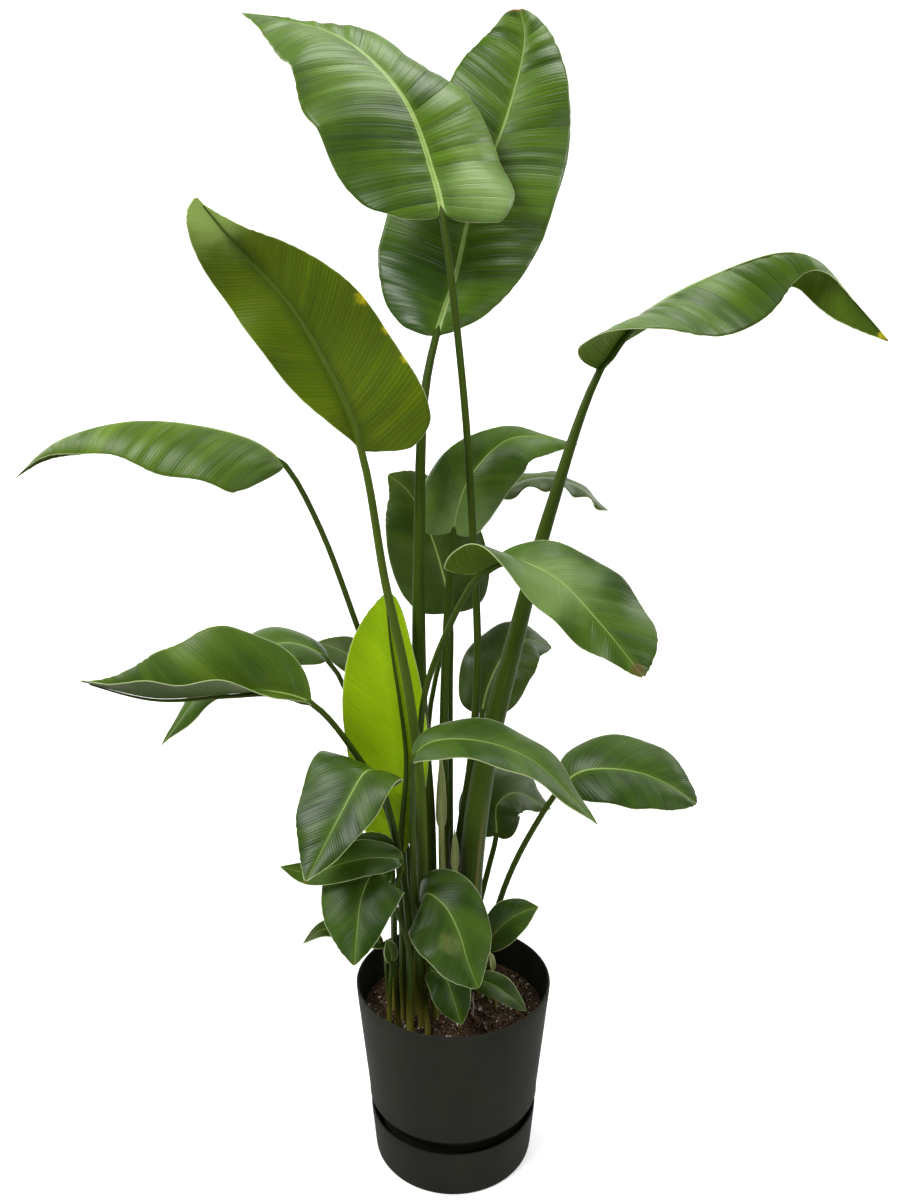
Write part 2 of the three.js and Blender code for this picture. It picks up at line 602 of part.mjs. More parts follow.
function skirtRadius(height) {
  const share = (height - SKIRT_FOOT_Z) / (POT_TOP - SKIRT_FOOT_Z);
  return mix(SKIRT_FOOT_RADIUS, POT_RIM_RADIUS, share);
}

function potProfile() {
  const shoulder = SKIRT_FOOT_Z - POT_WALL;
  const neckInner = NECK_RADIUS - POT_WALL;
  return [
    [0, POT_FOOT_Z],
    [NECK_RADIUS - 4, POT_FOOT_Z],
    [NECK_RADIUS, POT_FOOT_Z + 4],
    [NECK_RADIUS, SKIRT_FOOT_Z],
    [SKIRT_FOOT_RADIUS - 1, SKIRT_FOOT_Z],
    [SKIRT_FOOT_RADIUS, SKIRT_FOOT_Z + 1],
    [skirtRadius(POT_TOP - 10), POT_TOP - 10],
    [POT_RIM_RADIUS, POT_TOP - LIP_ROUND],
    [POT_RIM_RADIUS - LIP_ROUND, POT_TOP],
    [POT_RIM_RADIUS - POT_WALL, POT_TOP - LIP_ROUND],
    [skirtRadius(SKIRT_FOOT_Z) - POT_WALL, SKIRT_FOOT_Z + POT_WALL],
    [neckInner, shoulder],
    [neckInner, POT_FOOT_Z + POT_FLOOR],
    [0, POT_FOOT_Z + POT_FLOOR],
  ];
}

function saucerProfile() {
  return [
    [0, 0],
    [SAUCER_FOOT_RADIUS, 0],
    [SAUCER_FOOT_RADIUS + 2, 2],
    [SAUCER_RIM_RADIUS, SAUCER_TOP - LIP_ROUND],
    [SAUCER_RIM_RADIUS - LIP_ROUND, SAUCER_TOP],
    [SAUCER_RIM_RADIUS - SAUCER_WALL, SAUCER_TOP - LIP_ROUND],
    [SAUCER_FOOT_RADIUS - SAUCER_WALL, SAUCER_FLOOR],
    [0, SAUCER_FLOOR],
  ];
}

function soilProfile() {
  const potInner = (height) => skirtRadius(height) - POT_WALL - SOIL_GAP;
  const neckInner = NECK_RADIUS - POT_WALL - SOIL_GAP;
  const foot = POT_FOOT_Z + POT_FLOOR + SOIL_GAP;
  return [
    [0, foot],
    [neckInner, foot],
    [neckInner, SKIRT_FOOT_Z],
    [potInner(SKIRT_FOOT_Z) - 1, SKIRT_FOOT_Z + POT_WALL + 2],
    [potInner(SOIL_TOP), SOIL_TOP],
    [0, SOIL_TOP],
  ];
}

function toManifold(geometry) {
  const bare = geometry.clone();
  bare.deleteAttribute("normal");
  bare.deleteAttribute("uv");
  const merged = mergeVertices(bare, 1e-3);
  return new wasm.Manifold(new wasm.Mesh({
    numProp: 3,
    vertProperties: new Float32Array(merged.attributes.position.array),
    triVerts: new Uint32Array(merged.index.array),
  }));
}

function fromManifold(solid) {
  const mesh = solid.getMesh();
  const geometry = new THREE.BufferGeometry();
  geometry.setAttribute("position", new THREE.BufferAttribute(new Float32Array(mesh.vertProperties), 3));
  geometry.setIndex(new THREE.BufferAttribute(new Uint32Array(mesh.triVerts), 1));
  geometry.computeVertexNormals();
  return geometry;
}

function stemHole(leaf) {
  const radius = leaf.radii[0] + HOLE_GAP;
  const foot = SOIL_TOP - ROOT_DEPTH - HOLE_GAP;
  const hole = new THREE.CylinderGeometry(radius, radius, ROOT_DEPTH + 10, HOLE_SIDES);
  hole.rotateX(Math.PI / 2);
  hole.translate(leaf.root[0], leaf.root[1], foot + (ROOT_DEPTH + 10) / 2);
  return hole;
}

function soilGeometry() {
  let soil = toManifold(turned(soilProfile()));
  for (const leaf of LEAVES) {
    soil = soil.subtract(toManifold(stemHole(leaf)));
  }
  return fromManifold(soil);
}

function piece(name, geometry, color, roughness) {
  const material = new THREE.MeshStandardMaterial({ color, roughness, metalness: 0 });
  material.name = name;
  const mesh = new THREE.Mesh(geometry, material);
  mesh.name = name;
  return mesh;
}

const plant = new THREE.Group();
plant.name = "potted_bird_of_paradise";
plant.add(piece("pot", turned(potProfile()), 0x2b2e28, 0.6));
plant.add(piece("saucer", turned(saucerProfile()), 0x2b2e28, 0.6));
plant.add(piece("soil", soilGeometry(), 0x2a201a, 0.95));
for (const leaf of LEAVES) {
  plant.add(piece(leaf.name, leafGeometry(leaf), leaf.color, 0.45));
}

export default plant;
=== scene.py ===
# %% [markdown]
# # A potted giant white bird of paradise
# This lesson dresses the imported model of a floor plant, Strelitzia nicolai, in Blender. The model
# gives every piece its place and its plain form. Each step below says what a piece is on the real
# plant, how it could be made, and why it is made this way. Lengths are in metres, and +Z is up.

# %% Load the frame
import math

import bmesh
import bpy
import numpy as np
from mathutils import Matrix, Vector, noise


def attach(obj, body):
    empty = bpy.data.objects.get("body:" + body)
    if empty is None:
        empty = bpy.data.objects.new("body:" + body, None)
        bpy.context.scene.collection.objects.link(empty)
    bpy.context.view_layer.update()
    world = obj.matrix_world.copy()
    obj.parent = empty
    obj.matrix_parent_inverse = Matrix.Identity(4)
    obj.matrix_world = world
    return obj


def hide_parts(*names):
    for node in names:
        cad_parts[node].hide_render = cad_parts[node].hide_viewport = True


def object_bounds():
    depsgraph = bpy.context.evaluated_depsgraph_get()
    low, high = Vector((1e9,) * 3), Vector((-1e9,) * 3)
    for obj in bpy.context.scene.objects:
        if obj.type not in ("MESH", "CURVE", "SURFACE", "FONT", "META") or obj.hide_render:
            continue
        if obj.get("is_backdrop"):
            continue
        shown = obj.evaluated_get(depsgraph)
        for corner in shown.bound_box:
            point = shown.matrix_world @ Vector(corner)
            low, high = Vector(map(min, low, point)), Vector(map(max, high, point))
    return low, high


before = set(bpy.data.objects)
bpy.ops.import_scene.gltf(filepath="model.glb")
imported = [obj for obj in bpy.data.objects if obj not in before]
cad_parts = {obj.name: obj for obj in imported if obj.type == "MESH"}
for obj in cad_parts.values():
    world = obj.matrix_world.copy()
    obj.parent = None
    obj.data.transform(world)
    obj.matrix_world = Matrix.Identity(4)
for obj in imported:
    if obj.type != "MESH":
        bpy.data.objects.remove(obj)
cad_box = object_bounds()
scene = bpy.context.scene
print("Nodes in the frame:", len(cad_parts))
print("Box of the model:", [tuple(round(value, 3) for value in corner) for corner in cad_box])

# %% [markdown]
# ## Shader maths as plain expressions
# A leaf's colour is a sum of masks and noises. Wiring each Math node by hand hides the idea, so a
# small class wraps a socket: `1 - mask * 0.5` then adds the nodes by itself. Colours and vectors go
# through Mix and Vector Math nodes, because a Math node would turn a colour grey.

# %% A wire between shader nodes
class Wire:
    """One output of a node, which can be used in sums"""

    def __init__(self, finish, socket):
        self.finish = finish
        self.socket = socket

    def maths(self, operation, first, second=None):
        inputs = {0: first} if second is None else {0: first, 1: second}
        return self.finish.node("Math", {"operation": operation}, inputs)

    def __add__(self, other):
        return self.maths("ADD", self, other)

    def __sub__(self, other):
        return self.maths("SUBTRACT", self, other)

    def __rsub__(self, other):
        return self.maths("SUBTRACT", other, self)

    def __mul__(self, other):
        return self.maths("MULTIPLY", self, other)

    __radd__ = __add__
    __rmul__ = __mul__

    def sine(self):
        return self.maths("SINE", self)

    def whole(self):
        return self.maths("FLOOR", self)

    def absolute(self):
        return self.maths("ABSOLUTE", self)

    def ramp(self, low, high):
        """0 below low and 1 above high, or the other way round, with soft ends"""
        settings = {"interpolation_type": "SMOOTHSTEP"}
        if low < high:
            return self.finish.node("MapRange", settings, {0: self, 1: low, 2: high})
        return 1 - self.finish.node("MapRange", settings, {0: self, 1: high, 2: low})


# %% A finish: one material and its nodes
class Finish:
    """A material that is built up node by node"""

    def __init__(self, name):
        self.material = bpy.data.materials.new(name)
        self.material.use_nodes = True
        self.tree = self.material.node_tree
        self.tree.nodes.clear()

    def feed(self, socket, value):
        if isinstance(value, Wire):
            self.tree.links.new(value.socket, socket)
        else:
            socket.default_value = value

    def node(self, kind, settings=None, inputs=None, output=0):
        made = self.tree.nodes.new("ShaderNode" + kind)
        for name, value in (settings or {}).items():
            setattr(made, name, value)
        for key, value in (inputs or {}).items():
            self.feed(made.inputs[key], value)
        return Wire(self, made.outputs[output] if len(made.outputs) else None)

    def attribute(self, name):
        return self.node("Attribute", {"attribute_name": name}, output=2)

    def parts(self, vector):
        """The three numbers of a vector"""
        return [self.node("SeparateXYZ", None, {0: vector}, output) for output in range(3)]

    def place(self, x, y, z=0.0):
        """A vector from three numbers"""
        return self.node("CombineXYZ", None, {0: x, 1: y, 2: z})

    def noise(self, vector, scale, detail=2.0, roughness=0.5):
        inputs = {"Vector": vector, "Scale": scale, "Detail": detail, "Roughness": roughness}
        return self.node("TexNoise", None, inputs)

    def blend(self, mask, first, second):
        """The first colour where the mask is 0, and the second where it is 1"""
        settings = {"data_type": "RGBA", "clamp_factor": True}
        return self.node("Mix", settings, {0: mask, 6: first, 7: second}, 2)

    def near(self, centre, inner, outer):
        """1 within the inner distance of a point, 0 beyond the outer one, and ragged between"""
        spot = self.node("TexCoord", output=3)
        inputs = {0: spot, 1: centre}
        distance = self.node("VectorMath", {"operation": "DISTANCE"}, inputs, 1)
        ragged = distance + (self.noise(spot, 1.5 / outer, 3.0) - 0.5) * outer
        return ragged.ramp(outer, inner)

    def close(self, color, roughness, height=None, depth=0.001, strength=0.5, gloss=0.5, glow=0.0):
        """The shader itself; height is what the bump reads, and depth how deep it is in metres"""
        inputs = {"Base Color": color, "Roughness": roughness, "Specular IOR Level": gloss}
        inputs.update({"Emission Color": solid(1.0, 1.0, 1.0), "Emission Strength": glow})
        if height is not None:
            bump = {"Height": height, "Distance": depth, "Strength": strength}
            inputs["Normal"] = self.node("Bump", None, bump)
        shader = self.node("BsdfPrincipled", None, inputs)
        self.node("OutputMaterial", None, {"Surface": shader})
        return self.material


def solid(red, green, blue):
    """A colour with its fourth number, as a socket wants it"""
    return (red, green, blue, 1.0)


# %% [markdown]
# ## The studio
# The plant was photographed against white, in soft light from above and from the left. A floor
# that curves up into a back wall has no horizon, so the plant stands clear against it. The camera
# stands 1.3 m in front, at two thirds of the plant's height, and looks down by eleven degrees.

# %% Floor that curves up into a wall
FLOOR_SIDE = 5.0
FLOOR_BACK = 2.6
WALL_HEIGHT = 5.0
SWEEP_RADIUS = 1.4


def paper_finish():
    paper = Finish("studio_paper")
    position = paper.node("TexCoord", output=3)
    grain = paper.noise(position, 3.0, 3.0)
    color = paper.blend(grain, solid(0.86, 0.86, 0.86), solid(0.90, 0.90, 0.90))
    return paper.close(color, 0.9, gloss=0.1, glow=0.25)


def only(kind, items):
    """The vertices, edges or faces among what an operator gives back"""
    return [item for item in items if isinstance(item, kind)]


def studio_floor():
    paper = bmesh.new()
    corners = [(-FLOOR_SIDE, -FLOOR_SIDE, 0), (FLOOR_SIDE, -FLOOR_SIDE, 0)]
    front = [paper.verts.new(corner) for corner in corners]
    edge = paper.edges.new(front)
    for shift in [(0, FLOOR_SIDE + FLOOR_BACK, 0), (0, 0, WALL_HEIGHT)]:
        grown = bmesh.ops.extrude_edge_only(paper, edges=[edge])["geom"]
        moved = only(bmesh.types.BMVert, grown)
        bmesh.ops.translate(paper, verts=moved, vec=shift)
        edge = next(item for item in only(bmesh.types.BMEdge, grown) if set(item.verts) == set(moved))
    fold = [item for item in paper.edges if not item.is_boundary]
    bmesh.ops.bevel(paper, geom=fold, offset=SWEEP_RADIUS, segments=24, affect="EDGES",
                    profile=0.5, material=-1)
    bmesh.ops.recalc_face_normals(paper, faces=paper.faces[:])
    mesh = bpy.data.meshes.new("studio_floor")
    paper.to_mesh(mesh)
    paper.free()
    mesh.materials.append(paper_finish())
    floor = bpy.data.objects.new("studio_floor", mesh)
    scene.collection.objects.link(floor)
    for face in mesh.polygons:
        face.use_smooth = True
    return floor


floor = studio_floor()
floor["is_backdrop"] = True
print("Floor faces:", len(floor.data.polygons))

# %% Soft lights
PLANT_MIDDLE = (0, 0, 0.9)
LIGHTS = [
    ("key_light", (-1.6, -1.4, 2.8), PLANT_MIDDLE, 1.1, 104.0),
    ("fill_light", (2.1, -1.9, 1.6), PLANT_MIDDLE, 1.3, 24.0),
    ("top_light", (0.5, 0.1, 3.2), PLANT_MIDDLE, 1.2, 46.0),
    ("left_wall_light", (-2.6, 0.9, 2.6), (-0.6, 2.6, 0.9), 1.2, 62.0),
    ("right_wall_light", (2.6, 0.9, 2.6), (0.8, 2.6, 0.9), 1.2, 70.0),
]
WORLD_STRENGTH = 0.1


def soft_light(name, place, target, side, power):
    lamp = bpy.data.lights.new(name, "AREA")
    lamp.shape = "SQUARE"
    lamp.size = side
    lamp.energy = power
    shown = bpy.data.objects.new(name, lamp)
    shown.location = place
    shown.rotation_euler = (Vector(target) - Vector(place)).to_track_quat("-Z", "Y").to_euler()
    scene.collection.objects.link(shown)


for light in LIGHTS:
    soft_light(*light)
world = bpy.data.worlds.new("studio_air")
world.use_nodes = True
world.node_tree.nodes["Background"].inputs["Color"].default_value = solid(1.0, 1.0, 1.0)
world.node_tree.nodes["Background"].inputs["Strength"].default_value = WORLD_STRENGTH
scene.world = world
scene.view_settings.view_transform = "Standard"
print("Lights:", len(LIGHTS))

# %% Camera
CAMERA_PLACE = (-0.0034, -1.299, 1.123)
CAMERA_TILT = math.radians(90 - 11.29)
SENSOR = 36.0
FOCAL_PIXELS = 940
PHOTO_PIXELS = 1200
LENS = SENSOR * FOCAL_PIXELS / PHOTO_PIXELS

lens = bpy.data.cameras.new("camera")
lens.sensor_fit = "VERTICAL"
lens.sensor_height = SENSOR
lens.sensor_width = SENSOR
lens.lens = LENS
camera = bpy.data.objects.new("camera", lens)
camera.location = CAMERA_PLACE
camera.rotation_euler = (CAMERA_TILT, 0, 0)
scene.collection.objects.link(camera)
scene.camera = camera
print("Lens:", round(LENS, 1), "mm")

# %% [markdown]
# ## The leaves, one by one
# A leaf of this plant is one piece: a stalk that clasps its neighbours at the foot, and a paddle
# blade on a strong rib. Each row below places one: points up its stalk, points along its rib, and
# the way its upper face looks at foot, middle and tip. A half's width is from rib to margin. Rise
# and droop are degrees: how steeply a half climbs from the rib and how far it has bent at the
# margin. Rows are shorter to read in millimetres, so small helpers turn them into metres.

# %% How a row is written
LARGE = dict(blade=(18, 170), stalk=(14, 70))
SMALL = dict(blade=(12, 90), stalk=(12, 40))


def metres(values):
    return tuple(value / 1000 for value in values)


def half(width, rise, droop, **more):
    return dict(width=width / 1000, rise=rise, droop=droop, **more)


def leaf_row(name, slot, grid, root, radii, stalk, rib, face, both=None, left=None, right=None,
             wave=(2, 2, 0.2), widest=0.4, blunt=1, lobe=0.1):
    """One leaf; lengths are in millimetres, and a wave is its height, its count and its phase"""
    return dict(
        name=name, slot=slot, grid=grid, root=metres(root), radii=metres(radii),
        stalk=[metres(point) for point in stalk], rib=[metres(point) for point in rib],
        face=face, left=left or both, right=right or both, wave=(wave[0] / 1000, *wave[1:]),
        widest=widest, blunt=blunt, lobe=lobe,
    )


# %% Places and shapes of the leaves
LEAVES = [
    leaf_row("leaf_top_left", "leaf_green", LARGE, root=(2, 62), radii=(7, 6, 5),
        stalk=[(6, 66, 440), (28, 62, 610), (36, 52, 760), (30, 42, 915), (15, 45, 1140)],
        rib=[(-15, 60, 1385), (-28, 72, 1440), (-70, 90, 1545), (-155, 110, 1625), (-290, 120, 1660)],
        face=[(0.1, -1, 0.3), (0.2, -0.8, 0.55), (0.2, -0.5, 0.85)],
        left=half(142, 22, 45, lobe=0.15), right=half(120, 15, (40, 62, 40), widest=0.16, blunt=1.5),
        wave=(9, 3.4, 0.1), widest=0.38, blunt=0.8, lobe=0.3),
    leaf_row("leaf_top_right", "leaf_green", LARGE, root=(-38, 40), radii=(14, 13, 5.5),
        stalk=[(-40, 58, 500), (-50, 58, 695), (-50, 58, 905), (-42, 72, 1140)],
        rib=[(-25, 100, 1230), (5, 140, 1325), (25, 165, 1410), (80, 200, 1555), (105, 220, 1665),
             (97, 222, 1705)], face=[(-0.1, -1, 0.3), (-0.1, -1, 0.35), (-0.1, -0.9, 0.6)],
        left=half(126, 20, 40, widest=0.3, blunt=0.5, lobe=0.1),
        right=half(118, 15, 50, widest=0.42, shoulder=0.8, lobe=-0.1), wave=(9, 3.4, 0.6), blunt=0.75,
        lobe=0.3),
    leaf_row("leaf_left_hooded", "leaf_underside", LARGE, root=(-50, -12), radii=(14, 8, 5),
        stalk=[(-47, -15, 570), (-65, -35, 755), (-92, -55, 900)],
        rib=[(-118, -80, 1073), (-148, -92, 1155), (-200, -108, 1250), (-260, -130, 1320),
             (-284, -198, 1356)], face=[(-0.5, 0.85, 0.3), (-0.5, 0.75, 0.45), (-0.3, 0.6, 0.8)],
        left=half(110, 20, 30, widest=0.1, blunt=1.8, lobe=0.25),
        right=half(62, 20, 30, widest=0.5, shoulder=1.3, blunt=0.7), wave=(7, 3.2, 0.3), widest=0.42,
        blunt=0.8, lobe=0.25),
    leaf_row("leaf_right_arching", "leaf_green", LARGE, root=(30, 44), radii=(17.2, 20, 5.5),
        stalk=[(26, 36, 425), (45, 36, 600), (85, 34, 780), (137, 25, 990)],
        rib=[(200, 20, 1180), (250, 20, 1248), (345, 30, 1303), (445, 35, 1335), (495, 40, 1325),
             (545, 40, 1275), (600, 40, 1218)],
        face=[(-0.6, -0.35, 0.8), (-0.2, -0.1, 1), (0.4, 0.8, 0.5)],
        left=half(72, -5, (20, 80, 40), lobe=0.3),
        right=half(112, (115, -45, 20), (40, 45, 20), widest=0.25, shoulder=0.75, blunt=3.6, lobe=0.3),
        wave=(5, 3, 0.2), widest=0.35, blunt=0.9),
    leaf_row("leaf_left_arching", "leaf_bright", LARGE, root=(-72, 28), radii=(6, 5.5, 4.5),
        stalk=[(-76, 55, 430), (-92, 62, 650), (-142, 55, 815), (-192, 40, 965)],
        rib=[(-235, 30, 1050), (-275, 30, 1083), (-370, 25, 1108), (-455, 15, 1110), (-545, 5, 1083),
             (-608, 0, 1030)], face=[(0.6, -0.2, 0.8), (0, -0.3, 1), (-0.4, -0.3, 0.85)],
        left=half(100, -5, 60, widest=0.2, blunt=1.9), right=half(78, -15, 70, blunt=1.3),
        wave=(5, 3, 0.5), widest=0.38, blunt=0.9),
    leaf_row("leaf_centre_back", "leaf_green", SMALL, root=(-16, 68), radii=(9, 9, 4.5),
        stalk=[(-14, 62, 425), (-14, 68, 675), (-8, 78, 850)],
        rib=[(0, 88, 948), (10, 94, 995), (30, 101, 1037), (80, 112, 1083), (135, 120, 1088),
             (187, 124, 1076)], face=[(0.2, -1, 0.2), (0.1, -0.9, 0.6), (0.3, -0.6, 0.9)],
        left=half(60, 15, 30, widest=0.15, blunt=2.6), right=half(62, 20, 50), wave=(4, 3, 0.2),
        widest=0.35, blunt=0.9, lobe=0.3),
    leaf_row("leaf_centre_dark", "leaf_shaded", SMALL, root=(-6, 92), radii=(6, 5.5, 4.5),
        stalk=[(-5, 84, 410), (-5, 100, 580), (-5, 115, 700)],
        rib=[(-5, 128, 820), (-18, 138, 885), (-40, 145, 950), (-70, 148, 1005), (-100, 150, 1030)],
        face=[(0.1, -1, 0.2), (0.1, -1, 0.2), (0.1, -0.9, 0.4)],
        left=half(75, 15, 30), right=half(78, 15, 30), wave=(4, 2, 0.1), widest=0.35, blunt=0.9,
        lobe=0.2),
    leaf_row("leaf_back_crinkled", "leaf_shaded", SMALL, root=(-40, 84), radii=(6, 5, 4),
        stalk=[(-40, 98, 500), (-38, 122, 655), (2, 168, 825), (33, 180, 930)],
        rib=[(62, 186, 988), (125, 192, 1020), (187, 196, 1012), (248, 200, 968)],
        face=[(-0.3, -0.1, 1), (0, -0.1, 1), (0.3, -0.1, 1)],
        left=half(50, 30, 60), right=half(50, 25, 70), wave=(6, 4, 0.2), widest=0.45, blunt=0.8),
    leaf_row("leaf_right_middle", "leaf_green", LARGE, root=(-52, 14), radii=(6.5, 5.5, 4.5),
        stalk=[(-52, 12, 460), (-50, 2, 640), (-38, -25, 745), (5, -50, 860)],
        rib=[(35, -60, 910), (72, -75, 932), (130, -110, 915), (180, -150, 868), (232, -192, 806)],
        face=[(-0.3, -0.5, 0.9), (0.3, -1, 0.6), (0.5, -0.9, 0.3)],
        left=half(74, 10, 30, widest=0.68, shoulder=1, lobe=-0.2),
        right=half(56, (150, 10, -5), 30, widest=0.2, lobe=0.9), wave=(6, 3.3, 0.4), widest=0.45,
        blunt=0.8, lobe=0.3),
    leaf_row("leaf_lime_upright", "leaf_lime", LARGE, root=(-66, 2), radii=(7, 6, 5),
        stalk=[(-70, 8, 340)],
        rib=[(-80, 12, 470), (-70, 16, 620), (-78, 20, 705), (-90, 24, 790), (-97, 26, 868)],
        face=[(-0.2, 1, 0.1), (-0.1, 1, 0.1), (0.1, 1, -0.1)],
        left=half(36, 25, 35, blunt=0.4), right=half(88, 20, 35, blunt=0.85), wave=(3, 2, 0.2),
        widest=0.5, blunt=0.8),
    leaf_row("leaf_left_trough", "leaf_bright", LARGE, root=(-75, -28), radii=(6, 5.5, 4.5),
        stalk=[(-80, -20, 470), (-97, -26, 565), (-135, -38, 645)],
        rib=[(-194, -60, 730), (-245, -70, 750), (-300, -85, 752), (-395, -105, 752), (-486, -120, 780)],
        face=[(0.4, -0.3, 0.9), (0, -0.3, 1), (0.2, -0.2, 1)],
        left=half(50, (10, 68, 50), 20, shoulder=1.2, blunt=0.6, lobe=-0.1),
        right=half(90, 65, 25, widest=0.36, shoulder=1.2, blunt=1.5, lobe=0.05), wave=(5, 3, 0.1),
        widest=0.32, blunt=0.8, lobe=0.2),
    leaf_row("leaf_left_behind", "leaf_green", SMALL, root=(-90, -4), radii=(5.5, 5, 4),
        stalk=[(-95, 45, 470), (-108, 60, 575), (-152, 45, 700)],
        rib=[(-185, 25, 772), (-240, 15, 798), (-305, 5, 775), (-360, -5, 730), (-418, -20, 655)],
        face=[(0.4, -0.3, 0.9), (-0.1, -0.4, 0.9), (-0.6, -0.4, 0.6)],
        both=half(50, 25, 60), wave=(4, 3, 0.3), widest=0.35, lobe=0.15),
    leaf_row("leaf_left_back_small", "leaf_shaded", SMALL, root=(-62, 70), radii=(5, 4.5, 4),
        stalk=[(-72, 80, 435), (-92, 88, 580), (-110, 98, 680)],
        rib=[(-128, 106, 728), (-168, 116, 757), (-212, 126, 772)],
        face=[(0.3, -0.7, 0.7), (0.2, -0.7, 0.7), (0.2, -0.7, 0.7)],
        both=half(30, 20, 30), lobe=0.15),
    leaf_row("leaf_front_right_arching", "leaf_green", LARGE, root=(-46, -44), radii=(10.5, 6, 4.5),
        stalk=[(-58, -58, 475), (-56, -92, 600)],
        rib=[(-53, -110, 671), (-30, -122, 697), (32, -147, 708), (98, -172, 692), (150, -192, 648),
             (180, -204, 618)], face=[(-0.5, -0.3, 0.8), (0.1, -0.3, 1), (0.5, -0.3, 0.8)],
        left=half(42, 25, 40), right=half(42, 20, 40), wave=(3, 3, 0.2), widest=0.35, lobe=0.2),
    leaf_row("leaf_right_low", "leaf_green", SMALL, root=(54, 42), radii=(6, 5, 4.5),
        stalk=[(55, 32, 310), (82, 20, 425), (122, 8, 520)],
        rib=[(165, 0, 592), (192, -6, 612), (255, -20, 617), (305, -30, 602), (348, -40, 575)],
        face=[(-0.4, -0.6, 0.9), (0.1, -0.6, 0.8), (0.4, -0.6, 0.7)],
        left=half(60, 25, 45), right=half(58, 10, 35), wave=(3, 3, 0.2), widest=0.45, blunt=0.8,
        lobe=0.25),
    leaf_row("leaf_back_frayed", "leaf_shaded", SMALL, root=(32, 92), radii=(6, 5.5, 4.5),
        stalk=[(38, 98, 315), (58, 112, 400)],
        rib=[(70, 120, 450), (72, 130, 500), (100, 142, 515), (162, 155, 480)],
        face=[(-0.3, -0.9, 0.5), (0, -0.6, 0.9), (0.3, -0.5, 0.9)],
        left=half(66, 15, 40), right=half(42, 20, 40), wave=(4, 3, 0.2), widest=0.32, lobe=0.3),
    leaf_row("leaf_back_middle", "leaf_shaded", SMALL, root=(14, 78), radii=(6, 5, 4.5),
        stalk=[(25, 80, 410), (42, 105, 555)],
        rib=[(46, 130, 655), (58, 145, 700), (82, 162, 742), (118, 180, 762), (162, 195, 745)],
        face=[(-0.2, -0.9, 0.4), (-0.1, -0.7, 0.8), (0.2, -0.5, 0.9)],
        left=half(58, 20, 40), right=half(62, 20, 40), wave=(4, 3, 0.2), blunt=0.9, lobe=0.2),
    leaf_row("leaf_front_left_drooping", "leaf_green", LARGE, root=(-64, -50), radii=(6.5, 5.5, 4.5),
        stalk=[(-66, -42, 390), (-79, -44, 510)],
        rib=[(-98, -58, 602), (-106, -76, 638), (-120, -104, 647), (-148, -142, 606),
             (-171, -170, 566), (-190, -192, 534)],
        face=[(0.1, 0.1, 0.9), (-0.3, -0.7, 0.6), (-0.4, -0.9, 0.2)],
        left=half(52, 15, 30, widest=0.3, shoulder=0.9, lobe=0),
        right=half(78, 20, 30, widest=0.28, shoulder=0.4, lobe=0.35), wave=(3, 3, 0.2), widest=0.35),
    leaf_row("leaf_left_low", "leaf_green", SMALL, root=(-82, -50), radii=(5, 4.5, 4),
        stalk=[(-85, -56, 400), (-79, -72, 470)],
        rib=[(-72, -84, 508), (-110, -96, 520), (-150, -108, 518), (-195, -120, 510), (-235, -126, 522)],
        face=[(0.3, -0.7, 0.8), (0, -0.8, 0.7), (0.1, -0.8, 0.7)],
        left=half(26, 20, 40), right=half(28, 20, 40), wave=(2, 3, 0.2)),
    leaf_row("leaf_bottom_left", "leaf_green", SMALL, root=(-62, -76), radii=(7, 5, 4),
        stalk=[(-64, -74, 370)],
        rib=[(-92, -82, 462), (-108, -98, 502), (-124, -128, 480), (-129, -155, 442), (-131, -178, 407)],
        face=[(0.3, -0.1, 0.6), (-0.1, -0.8, 0.6), (-0.1, -1, 0.1)],
        left=half(54, 15, 30), right=half(64, 15, 35), wave=(3, 3, 0.2), widest=0.28, blunt=0.9),
    leaf_row("leaf_bottom_centre", "leaf_green", SMALL, root=(-28, -30), radii=(10, 6, 4.5),
        stalk=[(-36, -38, 345)],
        rib=[(-48, -52, 425), (-36, -70, 452), (-12, -90, 444), (8, -112, 415), (20, -130, 382),
             (34, -143, 350)], face=[(-0.2, -0.3, 0.8), (0.1, -0.9, 0.6), (0.3, -1, 0.2)],
        left=half(50, 15, 30), right=half(66, 10, 30), wave=(3, 3, 0.2), blunt=0.9),
    leaf_row("leaf_small_right", "leaf_green", SMALL, root=(52, 14), radii=(4.5, 4, 3.5),
        stalk=[(51, 6, 285)], rib=[(50, 0, 325), (76, -8, 368), (100, -18, 392), (126, -28, 408)],
        face=[(-0.5, -0.7, 0.6), (-0.4, -0.8, 0.5), (-0.2, -0.8, 0.6)],
        both=half(30, 20, 30), widest=0.45),
    leaf_row("leaf_small_grey", "leaf_shaded", SMALL, root=(-96, -36), radii=(4, 3.5, 3),
        stalk=[(-98, -52, 320)],
        rib=[(-102, -72, 372), (-148, -100, 412), (-180, -118, 425), (-206, -134, 412)],
        face=[(0.2, -0.6, 0.9), (0, -0.6, 0.9), (0, -0.6, 0.9)],
        both=half(18, 20, 30)),
    leaf_row("leaf_low_front", "leaf_green", SMALL, root=(-38, -68), radii=(10, 5, 3.5),
        stalk=[(-40, -62, 290)],
        rib=[(-35, -62, 325), (-12, -76, 322), (0, -92, 300), (12, -106, 268)],
        face=[(0, -0.4, 1), (0, -0.9, 0.6), (0.2, -1, 0.2)],
        both=half(30, 20, 30), lobe=0.15),
    leaf_row("leaf_low_right", "leaf_green", SMALL, root=(12, -24), radii=(4.5, 4, 3.5),
        stalk=[(14, -27, 268)], rib=[(24, -32, 290), (55, -46, 294), (84, -56, 280), (108, -62, 259)],
        face=[(-0.2, -0.5, 0.9), (0.1, -0.6, 0.9), (0.3, -0.6, 0.8)],
        both=half(20, 20, 30)),
